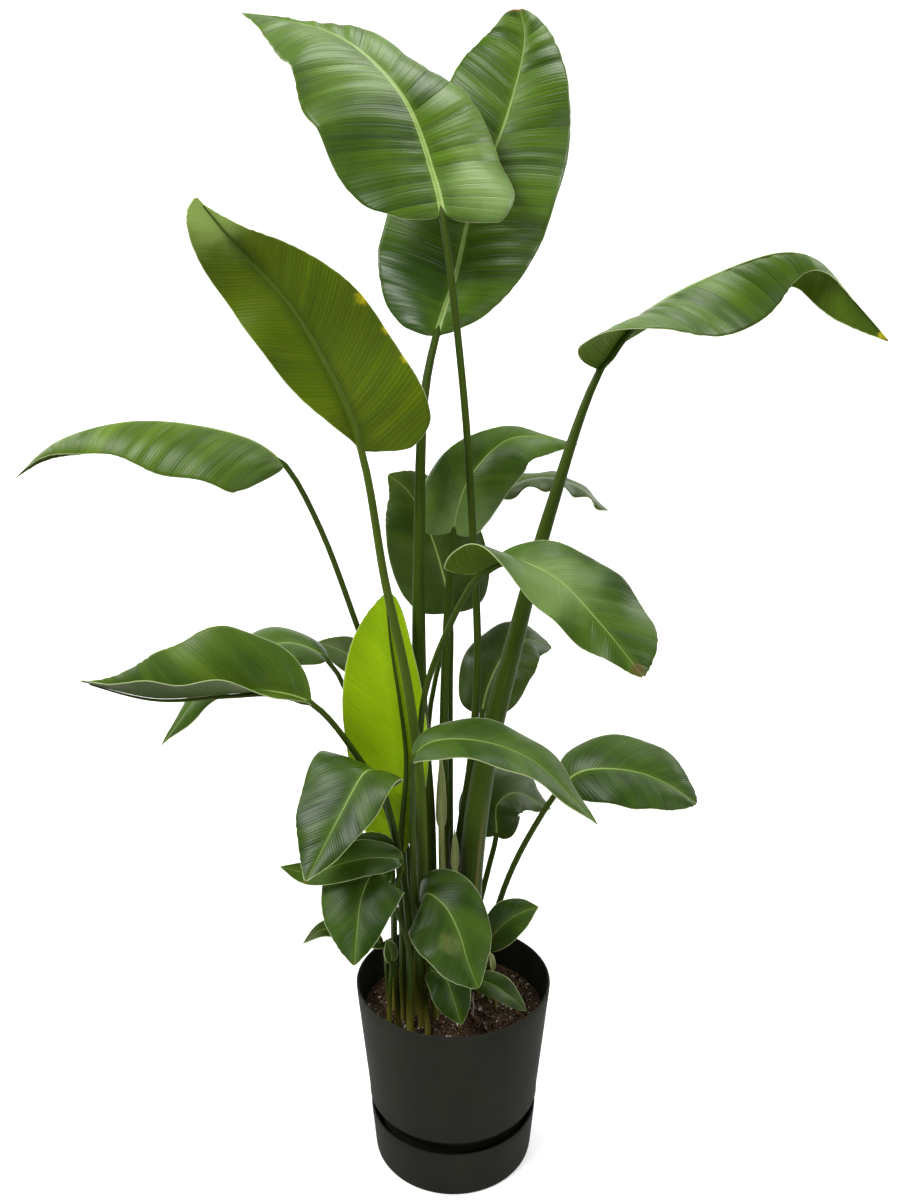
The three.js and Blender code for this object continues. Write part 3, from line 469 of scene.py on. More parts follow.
    leaf_row("sprout_front_right", "sheath", SMALL, root=(64, -6), radii=(5, 4, 3),
        stalk=[(61, -10, 262)], rib=[(58, -15, 292), (57, -18, 312), (54, -20, 330)],
        face=[(0.8, -0.4, 0.1)] * 3,
        both=half(9, 40, 30), wave=(1, 1, 0.2)),
    leaf_row("sprout_pot_edge", "leaf_shaded", SMALL, root=(-94, -62), radii=(4, 3.5, 3),
        stalk=[(-92, -62, 300)], rib=[(-90, -62, 340), (-92, -68, 362), (-96, -76, 384)],
        face=[(0.5, -0.8, 0.3)] * 3,
        both=half(12, 30, 30), wave=(1, 1, 0.2)),
    leaf_row("sheath_centre", "sheath", SMALL, root=(-14, 34), radii=(8, 7.5, 5),
        stalk=[(-16, 30, 400)], rib=[(-18, 36, 500), (-18, 42, 580), (-19, 48, 620)],
        face=[(0.2, -1, 0)] * 3,
        both=half(9, 20, 60), wave=(0, 1, 0), widest=0.2, lobe=0),
    leaf_row("sheath_back", "sheath", SMALL, root=(6, 30), radii=(7, 6, 5),
        stalk=[(4, 26, 380)], rib=[(3, 24, 440), (3, 24, 480), (2, 26, 505)], face=[(0.2, -1, 0)] * 3,
        both=half(7, 20, 60), wave=(0, 1, 0), widest=0.2, lobe=0),
]
print("Rows of leaves:", len(LEAVES))

# %% [markdown]
# ## The line of a leaf
# Stalk and rib are one smooth line through the points of a row. A spline object could draw it, but
# the blade needs to know its place and direction at any distance, so the line is sampled here. It
# goes through every point, and doesn't overshoot where the points are unevenly spaced.

# %% Smooth line through a few points
SOIL_TOP = 0.225
ROOT_DEPTH = 0.062
CLEAR_OF_SOIL = 0.004
SPAN_STEPS = 24
HEADING_STEPS = 60
DEGREE = math.pi / 180


def smooth_line(points):
    points = np.array(points, float)
    ends = [2 * points[0] - points[1]], [2 * points[-1] - points[-2]]
    padded = np.vstack([ends[0], points, ends[1]])
    share = (np.arange(SPAN_STEPS) / SPAN_STEPS)[:, None]
    spans = []
    for before, start, end, after in zip(padded, padded[1:], padded[2:], padded[3:]):
        reach = [np.linalg.norm(b - a) ** 0.5 for a, b in ((before, start), (start, end), (end, after))]
        leave = (start - before) / reach[0] - (end - before) / (reach[0] + reach[1])
        leave = (leave + (end - start) / reach[1]) * reach[1]
        arrive = (end - start) / reach[1] - (after - start) / (reach[1] + reach[2])
        arrive = (arrive + (after - end) / reach[2]) * reach[1]
        bend = 3 * (end - start) - 2 * leave - arrive
        twist = 2 * (start - end) + leave + arrive
        spans.append(start + leave * share + bend * share ** 2 + twist * share ** 3)
    return np.vstack(spans + [points[-1:]])


def unit(vectors):
    return vectors / np.linalg.norm(vectors, axis=-1, keepdims=True)


class Line:
    """A run of points that knows its place and direction at any distance"""

    def __init__(self, points):
        steps = np.linalg.norm(np.diff(points, axis=0), axis=1)
        self.points = points
        self.walked = np.concatenate([[0], np.cumsum(steps)])
        self.length = self.walked[-1]

    def place(self, distance):
        return np.stack([np.interp(distance, self.walked, axis) for axis in self.points.T], axis=-1)

    def heading(self, distance):
        reach = self.length / HEADING_STEPS
        ahead = self.place(np.minimum(self.length, distance + reach))
        behind = self.place(np.maximum(0, distance - reach))
        return unit(ahead - behind)


def leaf_lines(leaf):
    """The stalk from its root to the blade, and the rib from there to the tip"""
    below = (*leaf["root"], SOIL_TOP - ROOT_DEPTH)
    above = (*leaf["root"], SOIL_TOP + CLEAR_OF_SOIL)
    samples = smooth_line([below, above, *leaf["stalk"], *leaf["rib"]])
    foot = SPAN_STEPS * (2 + len(leaf["stalk"]))
    return Line(samples[:foot + 1]), Line(samples[foot:])


lengths = [sum(line.length for line in leaf_lines(leaf)) for leaf in LEAVES]
print("Longest leaf:", round(max(lengths), 2), "m from root to tip")


# %% [markdown]
# ## The blade
# The blade is a grid of faces: one way across from margin to margin, the other along the rib. Its
# vertices are moved to where the leaf's own rules put them, and an extrusion gives the sheet its
# thickness. A sculpted sheet would look as good, but a rule keeps all leaves alike. Between its
# side veins the blade arches in low panels of three sizes. Their rule is fixed, with nothing
# random, so that the finish can draw its creases by the same rule, just where the sheet has them.

# %% Rules for the form of a blade
BLADE_THICKNESS = 0.0012
SHOULDER = 0.55
SWELL = 2.2
NECK_TAPER = 0.8
FORWARD_SWEEP = 0.1
LOBE_SHARE = 0.5
TIP_SHARE = 0.995
VEIN_SWEEP = (0.1, 0.45)
SMALL_LEAF_SLANT = 1.1
BROAD_LEAF = 0.12
FOLD_GROWTH = 2.1
FOLD_LENGTHS = (0.036, 0.021, 0.012)
FOLD_HEIGHT = 0.0017
FOLD_FADE = 1.6
FOLD_LEAN = 0.35
FOLD_MEAN = 0.67
FOLD_START = 0.012
FOLD_AT_MARGIN = 0.5
PANEL_SWING = 0.3
PANEL_BEAT = 4.3
NIBBLE = 0.0007
NIBBLE_WAVES = (310, 97)
NIBBLE_WIDTH = 0.08
RIB_WIDTH = 0.17
RIB_GROWTH = 1.8
RIB_FADE = 0.9
RIB_TIP = 0.0003


def through_three(values, share):
    foot, middle, tip = (np.asarray(value, float) for value in values)
    share = share[..., None] if foot.ndim else share
    return (foot * (1 - share) * (1 - 2 * share) + middle * 4 * share * (1 - share)
            + tip * share * (2 * share - 1))


def degrees_at(value, share):
    degrees = through_three(value, share) if isinstance(value, tuple) else value + 0 * share
    return degrees * DEGREE


def outline_at(form, share):
    """Share of the full width at a share of the blade's length"""
    young = np.clip(share / form["widest"], 0, 1)
    swell = (1 - (1 - young) ** SWELL) ** form["shoulder"]
    past = np.clip((share - form["widest"]) / (1 - form["widest"]), 0, 1)
    return np.where(share < form["widest"], swell, (1 - past ** 2) ** form["blunt"])


def soft_step(share):
    share = np.clip(share, 0, 1)
    return share * share * (3 - 2 * share)


def panel_beat(length):
    """How fast the panels of a length grow and shrink again along a blade"""
    return 2 * math.pi / (PANEL_BEAT * length)


def folds(along):
    """Arched panels along the side veins with a crease between them, the small ones lower"""
    height = 0 * along
    for length in FOLD_LENGTHS:
        panel = (along / length + PANEL_SWING * np.sin(along * panel_beat(length))) % 1
        arch = 1 - (2 * panel - 1) ** 2 + FOLD_LEAN * np.sin(2 * math.pi * panel)
        height += (arch - FOLD_MEAN) * (length / FOLD_LENGTHS[0]) ** FOLD_FADE
    return height * FOLD_HEIGHT


# %% One half of a blade
def half_sheet(leaf, rib, shares, out, side, shift):
    """Places and normals of one half of a blade, and what its veins and margin need"""
    own = leaf["left"] if side < 0 else leaf["right"]
    form = {"shoulder": SHOULDER, **{key: leaf[key] for key in ("widest", "blunt", "lobe")}, **own}
    share = shares[:, None]
    distance = shares * rib.length
    place, heading = rib.place(distance), rib.heading(distance)
    face = unit(through_three(leaf["face"], shares))
    across = unit(np.cross(heading, face))
    up = np.cross(across, heading)

    outline = outline_at(form, share)
    width = np.maximum(form["width"] * outline, leaf["radii"][2] * (1 - NECK_TAPER * share))
    rise = degrees_at(form["rise"], share)
    droop = degrees_at(form["droop"], share)
    angle = rise - droop * out
    height, count, phase = leaf["wave"]
    ripple = height * np.sqrt(outline) * out ** 2 * np.sin(2 * math.pi * (count * share + phase))
    from_rib = width * out
    broad = (leaf["left"]["width"] + leaf["right"]["width"]) / 2
    slant = SMALL_LEAF_SLANT * max(0, 1 - broad / BROAD_LEAF)
    sweep = VEIN_SWEEP[0] + (VEIN_SWEEP[1] - VEIN_SWEEP[0]) * share + slant
    vein = share * rib.length - sweep * from_rib
    full = soft_step(from_rib / FOLD_START) * (1 - FOLD_AT_MARGIN * out ** 3)
    full = full * min(1, (form["width"] / BROAD_LEAF) ** FOLD_GROWTH)
    lift = folds(vein + shift) * full
    jagged = np.sin(vein * NIBBLE_WAVES[0] + 2 * np.sin(vein * NIBBLE_WAVES[1]))
    nibble = NIBBLE * out ** 6 * jagged * min(1, form["width"] / NIBBLE_WIDTH)

    sideways = width * (np.sin(rise) - np.sin(angle)) / droop
    upwards = width * (np.cos(angle) - np.cos(rise)) / droop + ripple
    forward = -form["lobe"] + (FORWARD_SWEEP + form["lobe"]) * soft_step(share / LOBE_SHARE)
    ahead = out * form["width"] * forward * np.minimum(1, 1.5 * outline) + nibble
    point = (place[:, None] + side * across[:, None] * sideways[..., None]
             + up[:, None] * upwards[..., None] + heading[:, None] * ahead[..., None])
    normal = (up[:, None] * np.cos(angle)[..., None]
              - side * across[:, None] * np.sin(angle)[..., None])
    point += normal * lift[..., None]
    rib_edge = RIB_WIDTH * broad ** RIB_GROWTH * (1 - share) ** RIB_FADE + RIB_TIP + 0 * out
    return point, normal, vein, from_rib, width - from_rib, rib_edge, full


# %% A blade as a sheet with thickness
LEFT_HALF_SHIFT = 0.71
LEAF_SHIFT = 0.17
SPACING = (0.45, 0.55)
UPPER, UNDER, STALK = range(3)


def blade_shares(count):
    even = np.linspace(0, 1, count + 1)
    crowded = 0.5 - 0.5 * np.cos(math.pi * even)
    return TIP_SHARE * (SPACING[0] * even + SPACING[1] * crowded)


def add_blade(mesh, layers, leaf, rib, number):
    half_count, along_count = leaf["grid"]["blade"]
    shares = blade_shares(along_count)
    out = np.linspace(0, 1, half_count + 1)[None, :]
    shift = LEAF_SHIFT * number
    left = half_sheet(leaf, rib, shares, out, -1, shift + LEFT_HALF_SHIFT)
    right = half_sheet(leaf, rib, shares, out, 1, shift)
    joined = [np.concatenate([a[:, :0:-1], b], axis=1) for a, b in zip(left, right)]
    point, normal, vein, from_rib, to_edge, rib_edge, fold = joined
    size = point.shape[1]

    kept = {"vein": vein, "from_rib": from_rib, "to_edge": to_edge, "rib_edge": rib_edge, "fold": fold}
    made = bmesh.ops.create_grid(mesh, x_segments=size - 1, y_segments=along_count, size=0.5)
    for index, vertex in enumerate(made["verts"]):
        row, column = divmod(index, size)
        vertex.co = point[row, column]
        for name, values in kept.items():
            vertex[layers[name]] = values[row, column]
        vertex[layers["share"]] = shares[row]
        vertex[layers["column"]] = column - half_count
        vertex[layers["row"]] = row
    upper = set(mesh.faces)
    sheet = mesh.verts[:] + mesh.edges[:] + mesh.faces[:]
    grown = bmesh.ops.extrude_face_region(mesh, geom=sheet, use_keep_orig=True)["geom"]
    for vertex in only(bmesh.types.BMVert, grown):
        inwards = normal[vertex[layers["row"]], vertex[layers["column"]] + half_count]
        vertex.co -= Vector(inwards * BLADE_THICKNESS)
    for face in mesh.faces:
        face.material_index = UPPER if face in upper else UNDER
        is_left = sum(vertex[layers["column"]] for vertex in face.verts) < 0
        for corner in face.loops:
            vertex = corner.vert
            along = vertex[layers["vein"]] + shift + (LEFT_HALF_SHIFT if is_left else 0)
            corner[layers["uv"]].uv = (along, vertex[layers["from_rib"]])


# %% [markdown]
# ## The stalk and the rib under the blade
# The stalk goes on under the blade as a rib that thins out towards the tip, so one tube makes both.
# It is a grid again, rolled round the line and welded where its sides meet. A shallow channel runs
# up the side that the blade faces, and the lowest third is the broad sheath that clasps the stem.

# %% A tube that follows the leaf
SHEATH_SHARE = 0.35
RIB_END = 0.96
RIB_SINK = 0.05
RIB_LEAST = 0.0008
RIB_SHARE = 0.8
RIB_TAPER = 0.8
RIB_SPACING = (0.3, 0.7)
RIB_OVERLAP = 0.7
CHANNEL_DEPTH = 0.28
WELD = 1e-6


def stalk_radius(leaf, share):
    foot, sheath, neck = leaf["radii"]
    return np.interp(share, [0, SHEATH_SHARE, 1], [foot, sheath, neck])


def rib_radius(leaf, share):
    return RIB_SHARE * (leaf["radii"][2] * (1 - share) ** RIB_TAPER + RIB_LEAST)


def tube_rings(leaf, stalk, rib, count):
    """Middle, upward direction, direction and radius of each ring, from the root to the rib's end"""
    blade_count = count // 2
    shares = np.linspace(0, RIB_END, blade_count + 1)[1:]
    shares = shares * (RIB_SPACING[0] + RIB_SPACING[1] * shares / RIB_END)
    stalk_place = np.linspace(0, stalk.length, count - blade_count + 1)
    middle = np.vstack([stalk.place(stalk_place), rib.place(shares * rib.length)])
    heading = np.vstack([stalk.heading(stalk_place), rib.heading(shares * rib.length)])
    radius = np.concatenate([stalk_radius(leaf, stalk_place / stalk.length), rib_radius(leaf, shares)])
    face = unit(through_three(leaf["face"], np.concatenate([0 * stalk_place, shares])))
    up = unit(face - heading * np.sum(face * heading, axis=1, keepdims=True))
    for index in range(len(stalk_place) - 2, -1, -1):
        carried = up[index + 1] - heading[index] * (heading[index] @ up[index + 1])
        up[index] = unit(carried)
    sink = soft_step(np.concatenate([0 * stalk_place, shares / RIB_SINK]))
    depth = sink * (radius + RIB_OVERLAP * BLADE_THICKNESS)
    distance = np.concatenate([stalk_place, stalk.length + shares * rib.length])
    return middle - up * depth[:, None], up, heading, radius, distance, sink


# %% A stalk as a closed tube
def add_stalk(mesh, layers, leaf, stalk, rib):
    around, count = leaf["grid"]["stalk"]
    middle, up, heading, radius, distance, sink = tube_rings(leaf, stalk, rib, count)
    turn = np.linspace(0, 2 * math.pi, around + 1)
    channel = CHANNEL_DEPTH * np.maximum(0, np.cos(turn)) ** 4
    reach = radius[:, None] * (1 - channel[None, :] * (1 - sink[:, None]))
    across = np.cross(heading, up)
    point = (middle[:, None] + up[:, None] * (reach * np.cos(turn))[..., None]
             + across[:, None] * (reach * np.sin(turn))[..., None])
    before = set(mesh.faces)
    tube = bmesh.ops.create_grid(mesh, x_segments=around, y_segments=count, size=0.5)["verts"]
    for index, vertex in enumerate(tube):
        row, column = divmod(index, around + 1)
        vertex.co = point[row, column]
        vertex[layers["share"]] = row / count
        vertex[layers["vein"]] = distance[row]
        vertex[layers["column"]] = column
    faces = [face for face in mesh.faces if face not in before]
    for face in faces:
        face.material_index = STALK
        for corner in face.loops:
            turned = corner.vert[layers["column"]] / around
            corner[layers["uv"]].uv = (corner.vert[layers["vein"]], turned)
    bmesh.ops.remove_doubles(mesh, verts=tube, dist=WELD)
    rims = [edge for face in faces if face.is_valid for edge in face.edges if edge.is_boundary]
    caps = bmesh.ops.holes_fill(mesh, edges=list(set(rims)), sides=0)["faces"]
    for face in caps:
        face.material_index = STALK


# %% [markdown]
# ## Finish of the leaves
# The upper face is glossy and deep green, with a pale rib, a fine pale margin and close parallel
# veins that run from rib to margin. Their pattern has to follow the leaf, so it reads the UV map,
# whose first number counts metres from vein to vein and whose second is the distance from the rib.
# The underside is duller and more olive. Old damage, painted shade and painted highlights are
# placed by their distance from a point.

# %% Veins and panels as wires
FINE_VEINS = 1260
STREAKS = (150, 6)
BANDS = (34, 9)
PANEL_SHARES = (0.8, 0.5, 0.25)
CREASE_WIDTH = 0.0007


def veins_of(leaf):
    """Wires for the place across the veins, the distance from the rib, and streaks along veins"""
    along, from_rib, _ = leaf.parts(leaf.node("UVMap", {"uv_map": "UVMap"}))
    streak = leaf.noise(leaf.place(along * STREAKS[0], from_rib * STREAKS[1]), 1.0, 3.0, 0.6)
    broad = leaf.noise(leaf.place(along * BANDS[0], from_rib * BANDS[1]), 1.0, 2.0)
    fine = (along * FINE_VEINS + streak * 4).sine()
    return along, from_rib, streak, broad, fine


def panels_of(leaf, along):
    """Wires for the creases between the panels, and for how light or dark each panel is"""
    creases, shades = 0, 0
    for length, share in zip(FOLD_LENGTHS, PANEL_SHARES):
        panel = along * (1 / length) + (along * panel_beat(length)).sine() * PANEL_SWING
        whole = panel.whole()
        from_middle = (panel - whole - 0.5).absolute()
        creases += share * from_middle.ramp(0.5 - CREASE_WIDTH / length, 0.5)
        chance = leaf.node("TexWhiteNoise", {"noise_dimensions": "1D"}, {"W": whole})
        shades += share * (chance - 0.5)
    return creases, shades


# %% Margin, dry tip, old damage, and painted light and shade
MARGIN_COLOR = solid(0.36, 0.42, 0.20)
DRY_COLOR = solid(0.16, 0.08, 0.025)


def aged_and_painted_light(leaf, color, spots):
    """Pale margin, dry tip, and at their places old damage, painted shade and painted highlights"""
    to_edge = leaf.attribute("to_edge")
    color = leaf.blend(to_edge.ramp(0.0013, 0.0004) * 0.75, color, MARGIN_COLOR)
    color = leaf.blend(leaf.attribute("share").ramp(0.984, 0.995) * 0.8, color, DRY_COLOR)
    for centre, inner, outer, shade, strength in spots:
        color = leaf.blend(leaf.near(centre, inner, outer) * strength, color, shade)
    return color


# %% Upper face
RIB_COLOR = solid(0.26, 0.36, 0.10)


def upper_finish(name, tones, spots=()):
    leaf = Finish(name)
    along, from_rib, streak, broad, fine = veins_of(leaf)
    spot = leaf.node("TexCoord", output=3)
    patch = leaf.noise(spot, 8.0, 3.0)
    _, _, height = leaf.parts(spot)
    deep, light = (solid(*tone) for tone in tones)
    creases, shades = panels_of(leaf, along)
    fold = leaf.attribute("fold")
    tone = (streak - 0.5) * 0.3 + (broad - 0.5) * 0.5 + (patch - 0.5) * 1.0
    # Painted light and shade: higher leaves lighter, lower ones darker, as the lower leaves lie in shade.
    tone = tone + shades * (fold * 0.5 + 0.15) + height.ramp(0.3, 1.6) * 0.35 + 0.23
    color = leaf.blend(tone, deep, light)
    color = leaf.blend(fine.ramp(0.6, 1.0) * 0.14, color, light)
    color = leaf.blend(fine.ramp(-0.7, -1.0) * 0.24, color, deep)
    # Painted shade: the creases between the panels are darkened.
    color = leaf.blend(creases * fold * 0.7, color, deep)
    past_rib = from_rib - leaf.attribute("rib_edge")
    rib = past_rib.ramp(0.0006, -0.0006)
    groove = (from_rib - leaf.attribute("rib_edge") * 0.4).ramp(0.0004, -0.0008)
    color = leaf.blend(past_rib.ramp(0.010, 0.0) * 0.3, color, light)
    color = leaf.blend(rib * (0.95 - leaf.attribute("share") * 0.5), color, RIB_COLOR)
    color = leaf.blend(groove * 0.35, color, light)
    color = aged_and_painted_light(leaf, color, spots)
    roughness = streak * 0.08 + patch * 0.26 + 0.25
    relief = fine * 0.10 + streak * 0.1 + broad * 0.4 - rib * 0.5 - groove * 0.4 - creases * fold
    return leaf.close(color, roughness, relief, depth=0.0011, gloss=0.23)


# %% Underside
def under_finish(name, tones, spots=()):
    leaf = Finish(name)
    along, from_rib, streak, broad, fine = veins_of(leaf)
    patch = leaf.noise(leaf.node("TexCoord", output=3), 7.0, 3.0)
    deep, light = (solid(*tone) for tone in tones)
    creases, shades = panels_of(leaf, along)
    fold = leaf.attribute("fold")
    tone = (streak - 0.5) * 0.5 + (broad - 0.5) * 0.4 + (patch - 0.5) * 0.8 + shades * fold * 0.4 + 0.45
    color = leaf.blend(tone, deep, light)
    color = leaf.blend(fine.ramp(-0.3, -1.0) * 0.35, color, deep)
    # Painted shade: the creases between the panels are darkened.
    color = leaf.blend(creases * fold * 0.4, color, deep)
    color = leaf.blend(from_rib.ramp(0.020, 0.002) * 0.4, color, deep)
    color = aged_and_painted_light(leaf, color, spots)
    height = fine * 0.3 + streak * 0.5 + broad * 0.4 + creases * fold * 0.5
    return leaf.close(color, streak * 0.1 + 0.45, height, depth=0.0012, gloss=0.09)


# %% Stalk
FIBRES = (6, 60)
STALK_PATCHES = (9, 3)
FOOT_FADE = (0.31, 0.225)
SHEATH_PALE = solid(0.060, 0.083, 0.010)
SEAM_COLOR = solid(0.12, 0.11, 0.025)
FOOT_COLOR = solid(0.19, 0.17, 0.030)


def stalk_finish(name, deep, light):
    stalk = Finish(name)
    along, around, _ = stalk.parts(stalk.node("UVMap", {"uv_map": "UVMap"}))
    _, _, height = stalk.parts(stalk.node("TexCoord", output=3))
    fibre = stalk.noise(stalk.place(along * FIBRES[0], around * FIBRES[1]), 1.0, 3.0, 0.6)
    patch = stalk.noise(stalk.place(along * STALK_PATCHES[0], around * STALK_PATCHES[1]), 1.0, 3.0)
    channel = (around - 0.5).absolute().ramp(0.38, 0.48)
    tone = (fibre - 0.5) * 0.9 + (patch - 0.5) * 0.9 + 0.4
    color = stalk.blend(tone, solid(*deep), solid(*light))
    color = stalk.blend(channel * 0.35, color, solid(*light))
    sheath = stalk.attribute("share").ramp(0.20, 0.15)
    seam = ((around - 0.5).absolute() - 0.22 + (patch - 0.5) * 0.06).absolute().ramp(0.035, 0.012)
    color = stalk.blend(sheath * fibre.ramp(0.45, 0.7) * 0.35, color, SHEATH_PALE)
    color = stalk.blend(sheath * seam * 0.55, color, SEAM_COLOR)
    color = stalk.blend(height.ramp(*FOOT_FADE) * 0.75, color, FOOT_COLOR)
    bump = fibre * 0.7 + patch * 0.3 + sheath * seam
    return stalk.close(color, fibre * 0.15 + 0.45, bump, depth=0.0008, gloss=0.08)


# %% [markdown]
# ## One set of finishes for each kind of leaf
# Old leaves are deep green, some are brighter, a young one is lime, those at the back get darker
# tones as painted shade, and one shows its underside. Each kind has a deep and a light tone, and
# the same three finishes. The list of spots holds what single leaves show: dust with a painted
# sheen, painted shade, painted highlights, a bruise, dry tips and yellow patches, each with its
# place, its inner and outer radius, its colour and its strength.

# %% Tones of each kind
TONES = {
    "leaf_green": ((0.007, 0.025, 0.000), (0.070, 0.138, 0.004)),
    "leaf_bright": ((0.013, 0.040, 0.000), (0.092, 0.160, 0.007)),
    "leaf_lime": ((0.155, 0.270, 0.000), (0.290, 0.440, 0.001)),
    # Painted shade: darker tones for the leaves at the back.
    "leaf_shaded": ((0.011, 0.028, 0.000), (0.060, 0.098, 0.008)),
    "leaf_underside": ((0.034, 0.060, 0.000), (0.100, 0.150, 0.001)),
    "sheath": ((0.060, 0.080, 0.012), (0.300, 0.320, 0.120)),
}
UNDER_TONES = ((0.026, 0.052, 0.001), (0.080, 0.132, 0.006))
STALK_TONES = ((0.010, 0.023, 0.000), (0.045, 0.073, 0.004))
PALE_STALK_TONES = ((0.020, 0.038, 0.001), (0.085, 0.125, 0.010))

# %% Places of dust and sheen, painted shade, painted highlights and damage
YELLOW = solid(0.62, 0.50, 0.010)
BROWN = solid(0.080, 0.048, 0.014)
# Dust together with a painted sheen: a soft pale reflection on the glossy leaves.
DUST_AND_SHEEN = solid(0.16, 0.25, 0.07)
# A painted highlight: pale green where light catches a leaf's tip, and round a bruise.
PAINTED_HIGHLIGHT = solid(0.24, 0.34, 0.08)
# Painted shade: a deeper green where one leaf lies in the shadow of another.
PAINTED_SHADE = solid(0.008, 0.032, 0.000)
SPOTS = {
    "leaf_green": [
        ((0.062, 0.050, 1.440), 0.030, 0.095, DUST_AND_SHEEN, 0.70),
        ((-0.160, 0.050, 1.590), 0.020, 0.120, DUST_AND_SHEEN, 0.25),
        ((0.020, 0.070, 0.960), 0.020, 0.095, DUST_AND_SHEEN, 0.62),
        ((0.120, -0.120, 0.900), 0.020, 0.080, DUST_AND_SHEEN, 0.55),
        ((-0.085, 0.120, 1.270), 0.030, 0.120, PAINTED_SHADE, 0.75),
        ((-0.125, 0.030, 1.405), 0.025, 0.075, PAINTED_SHADE, 0.40),
        ((-0.006, -0.112, 0.398), 0.008, 0.024, PAINTED_HIGHLIGHT, 0.25),
        ((-0.008, -0.112, 0.402), 0.004, 0.019, BROWN, 0.75),
        ((0.226, -0.186, 0.812), 0.003, 0.013, BROWN, 0.8),
        ((0.590, 0.040, 1.228), 0.002, 0.009, YELLOW, 0.5),
    ],
    "leaf_underside": [
        ((-0.278, -0.176, 1.342), 0.015, 0.080, PAINTED_HIGHLIGHT, 0.85),
        ((-0.1165, -0.072, 1.264), 0.003, 0.013, YELLOW, 0.8),
        ((-0.1120, -0.070, 1.260), 0.001, 0.005, BROWN, 0.8),
        ((-0.0865, -0.051, 1.228), 0.002, 0.010, YELLOW, 0.55),
        ((-0.0620, -0.044, 1.192), 0.002, 0.009, YELLOW, 0.4),
    ],
}

# %% Make the finishes
OTHER_UNDERS = {name: TONES[name] for name in ("leaf_underside", "leaf_lime", "sheath")}
OTHER_UNDERS["leaf_bright"] = ((0.012, 0.026, 0.000), (0.042, 0.072, 0.002))
OTHER_STALKS = {"sheath": TONES["sheath"], "leaf_underside": PALE_STALK_TONES}
finishes = {}
for slot_name, tones in TONES.items():
    under = OTHER_UNDERS.get(slot_name, UNDER_TONES)
    spots = SPOTS.get(slot_name, [])
    finishes[slot_name] = (
        upper_finish(slot_name + "_upper", tones, spots),
        under_finish(slot_name + "_under", under, spots),
        stalk_finish(slot_name + "_stalk", *OTHER_STALKS.get(slot_name, STALK_TONES)),
    )
print("Leaf finishes:", 3 * len(finishes))

# %% [markdown]
# ## Growing the leaves
# Every row becomes one piece: blade and stalk go into one bmesh, whose layers carry what the
# finishes read. The piece then rides on the plant's body and stands for the plain node of the
# model that it replaces.

# %% A mesh as a piece of the plant
def shown_piece(name, mesh, materials, nodes=()):
    """A closed mesh as a smooth piece that rides on the plant and stands for its nodes"""
    bmesh.ops.recalc_face_normals(mesh, faces=mesh.faces[:])
    data = bpy.data.meshes.new(name)
    mesh.to_mesh(data)
    mesh.free()
    for material in materials:
        data.materials.append(material)
    for face in data.polygons:
        face.use_smooth = True
    piece = bpy.data.objects.new(name, data)
    scene.collection.objects.link(piece)
    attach(piece, "root")
    if nodes:
        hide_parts(*nodes)
    return piece


# %% Grow the leaves
def grow_leaf(leaf, number):
    mesh = bmesh.new()
    measures = ("share", "to_edge", "vein", "from_rib", "rib_edge", "fold")
    layers = {name: mesh.verts.layers.float.new(name) for name in measures}
    layers.update({name: mesh.verts.layers.int.new(name) for name in ("row", "column")})
    layers["uv"] = mesh.loops.layers.uv.new("UVMap")
    stalk, rib = leaf_lines(leaf)
    add_blade(mesh, layers, leaf, rib, number)
    add_stalk(mesh, layers, leaf, stalk, rib)
    materials = finishes[leaf["slot"]]
    return shown_piece(leaf["name"] + "_grown", mesh, materials, [leaf["name"]])


grown = [grow_leaf(leaf, number) for number, leaf in enumerate(LEAVES)]
print("Leaves:", len(grown), "with faces:", sum(len(piece.data.polygons) for piece in grown))

# %% [markdown]
# ## Pot and saucer
# The pot is one moulded shell of dark plastic: a skirt that widens upwards, and a narrow neck that
# stands in the saucer. Both are round, so a profile spun round the axis is the shortest way to
# them, with small arcs for the lips. The plastic is matt, with a fine grain and faint scuffs.

# %% Sizes of the pot, and points of a profile
POT_RIM_RADIUS = 0.1475
POT_TOP = 0.278
POT_WALL = 0.0035
SKIRT_FOOT_RADIUS = 0.1295
SKIRT_FOOT = 0.094
NECK_RADIUS = 0.112
POT_FOOT = 0.004
POT_FLOOR = 0.005


def arc(centre, radius, start, end, steps=5):
    """Points of a small arc, with its angles in degrees counted from outwards to upwards"""
    x, y = centre
    angles = np.linspace(start, end, steps) * DEGREE
    return [(x + radius * math.cos(angle), y + radius * math.sin(angle)) for angle in angles]


def skirt_radius(height):
    share = (height - SKIRT_FOOT) / (POT_TOP - SKIRT_FOOT)
    return SKIRT_FOOT_RADIUS + (POT_RIM_RADIUS - SKIRT_FOOT_RADIUS) * share


def straight(start, end, steps):
    return [tuple(np.array(start) + (np.array(end) - start) * step / steps) for step in range(steps)]


# %% Profile of the pot
FOOT_ROUND = 0.004
NECK_ROUND = 0.0015
SKIRT_ROUND = 0.0012
SKIRT_START = 0.01
LIP_START = 0.004


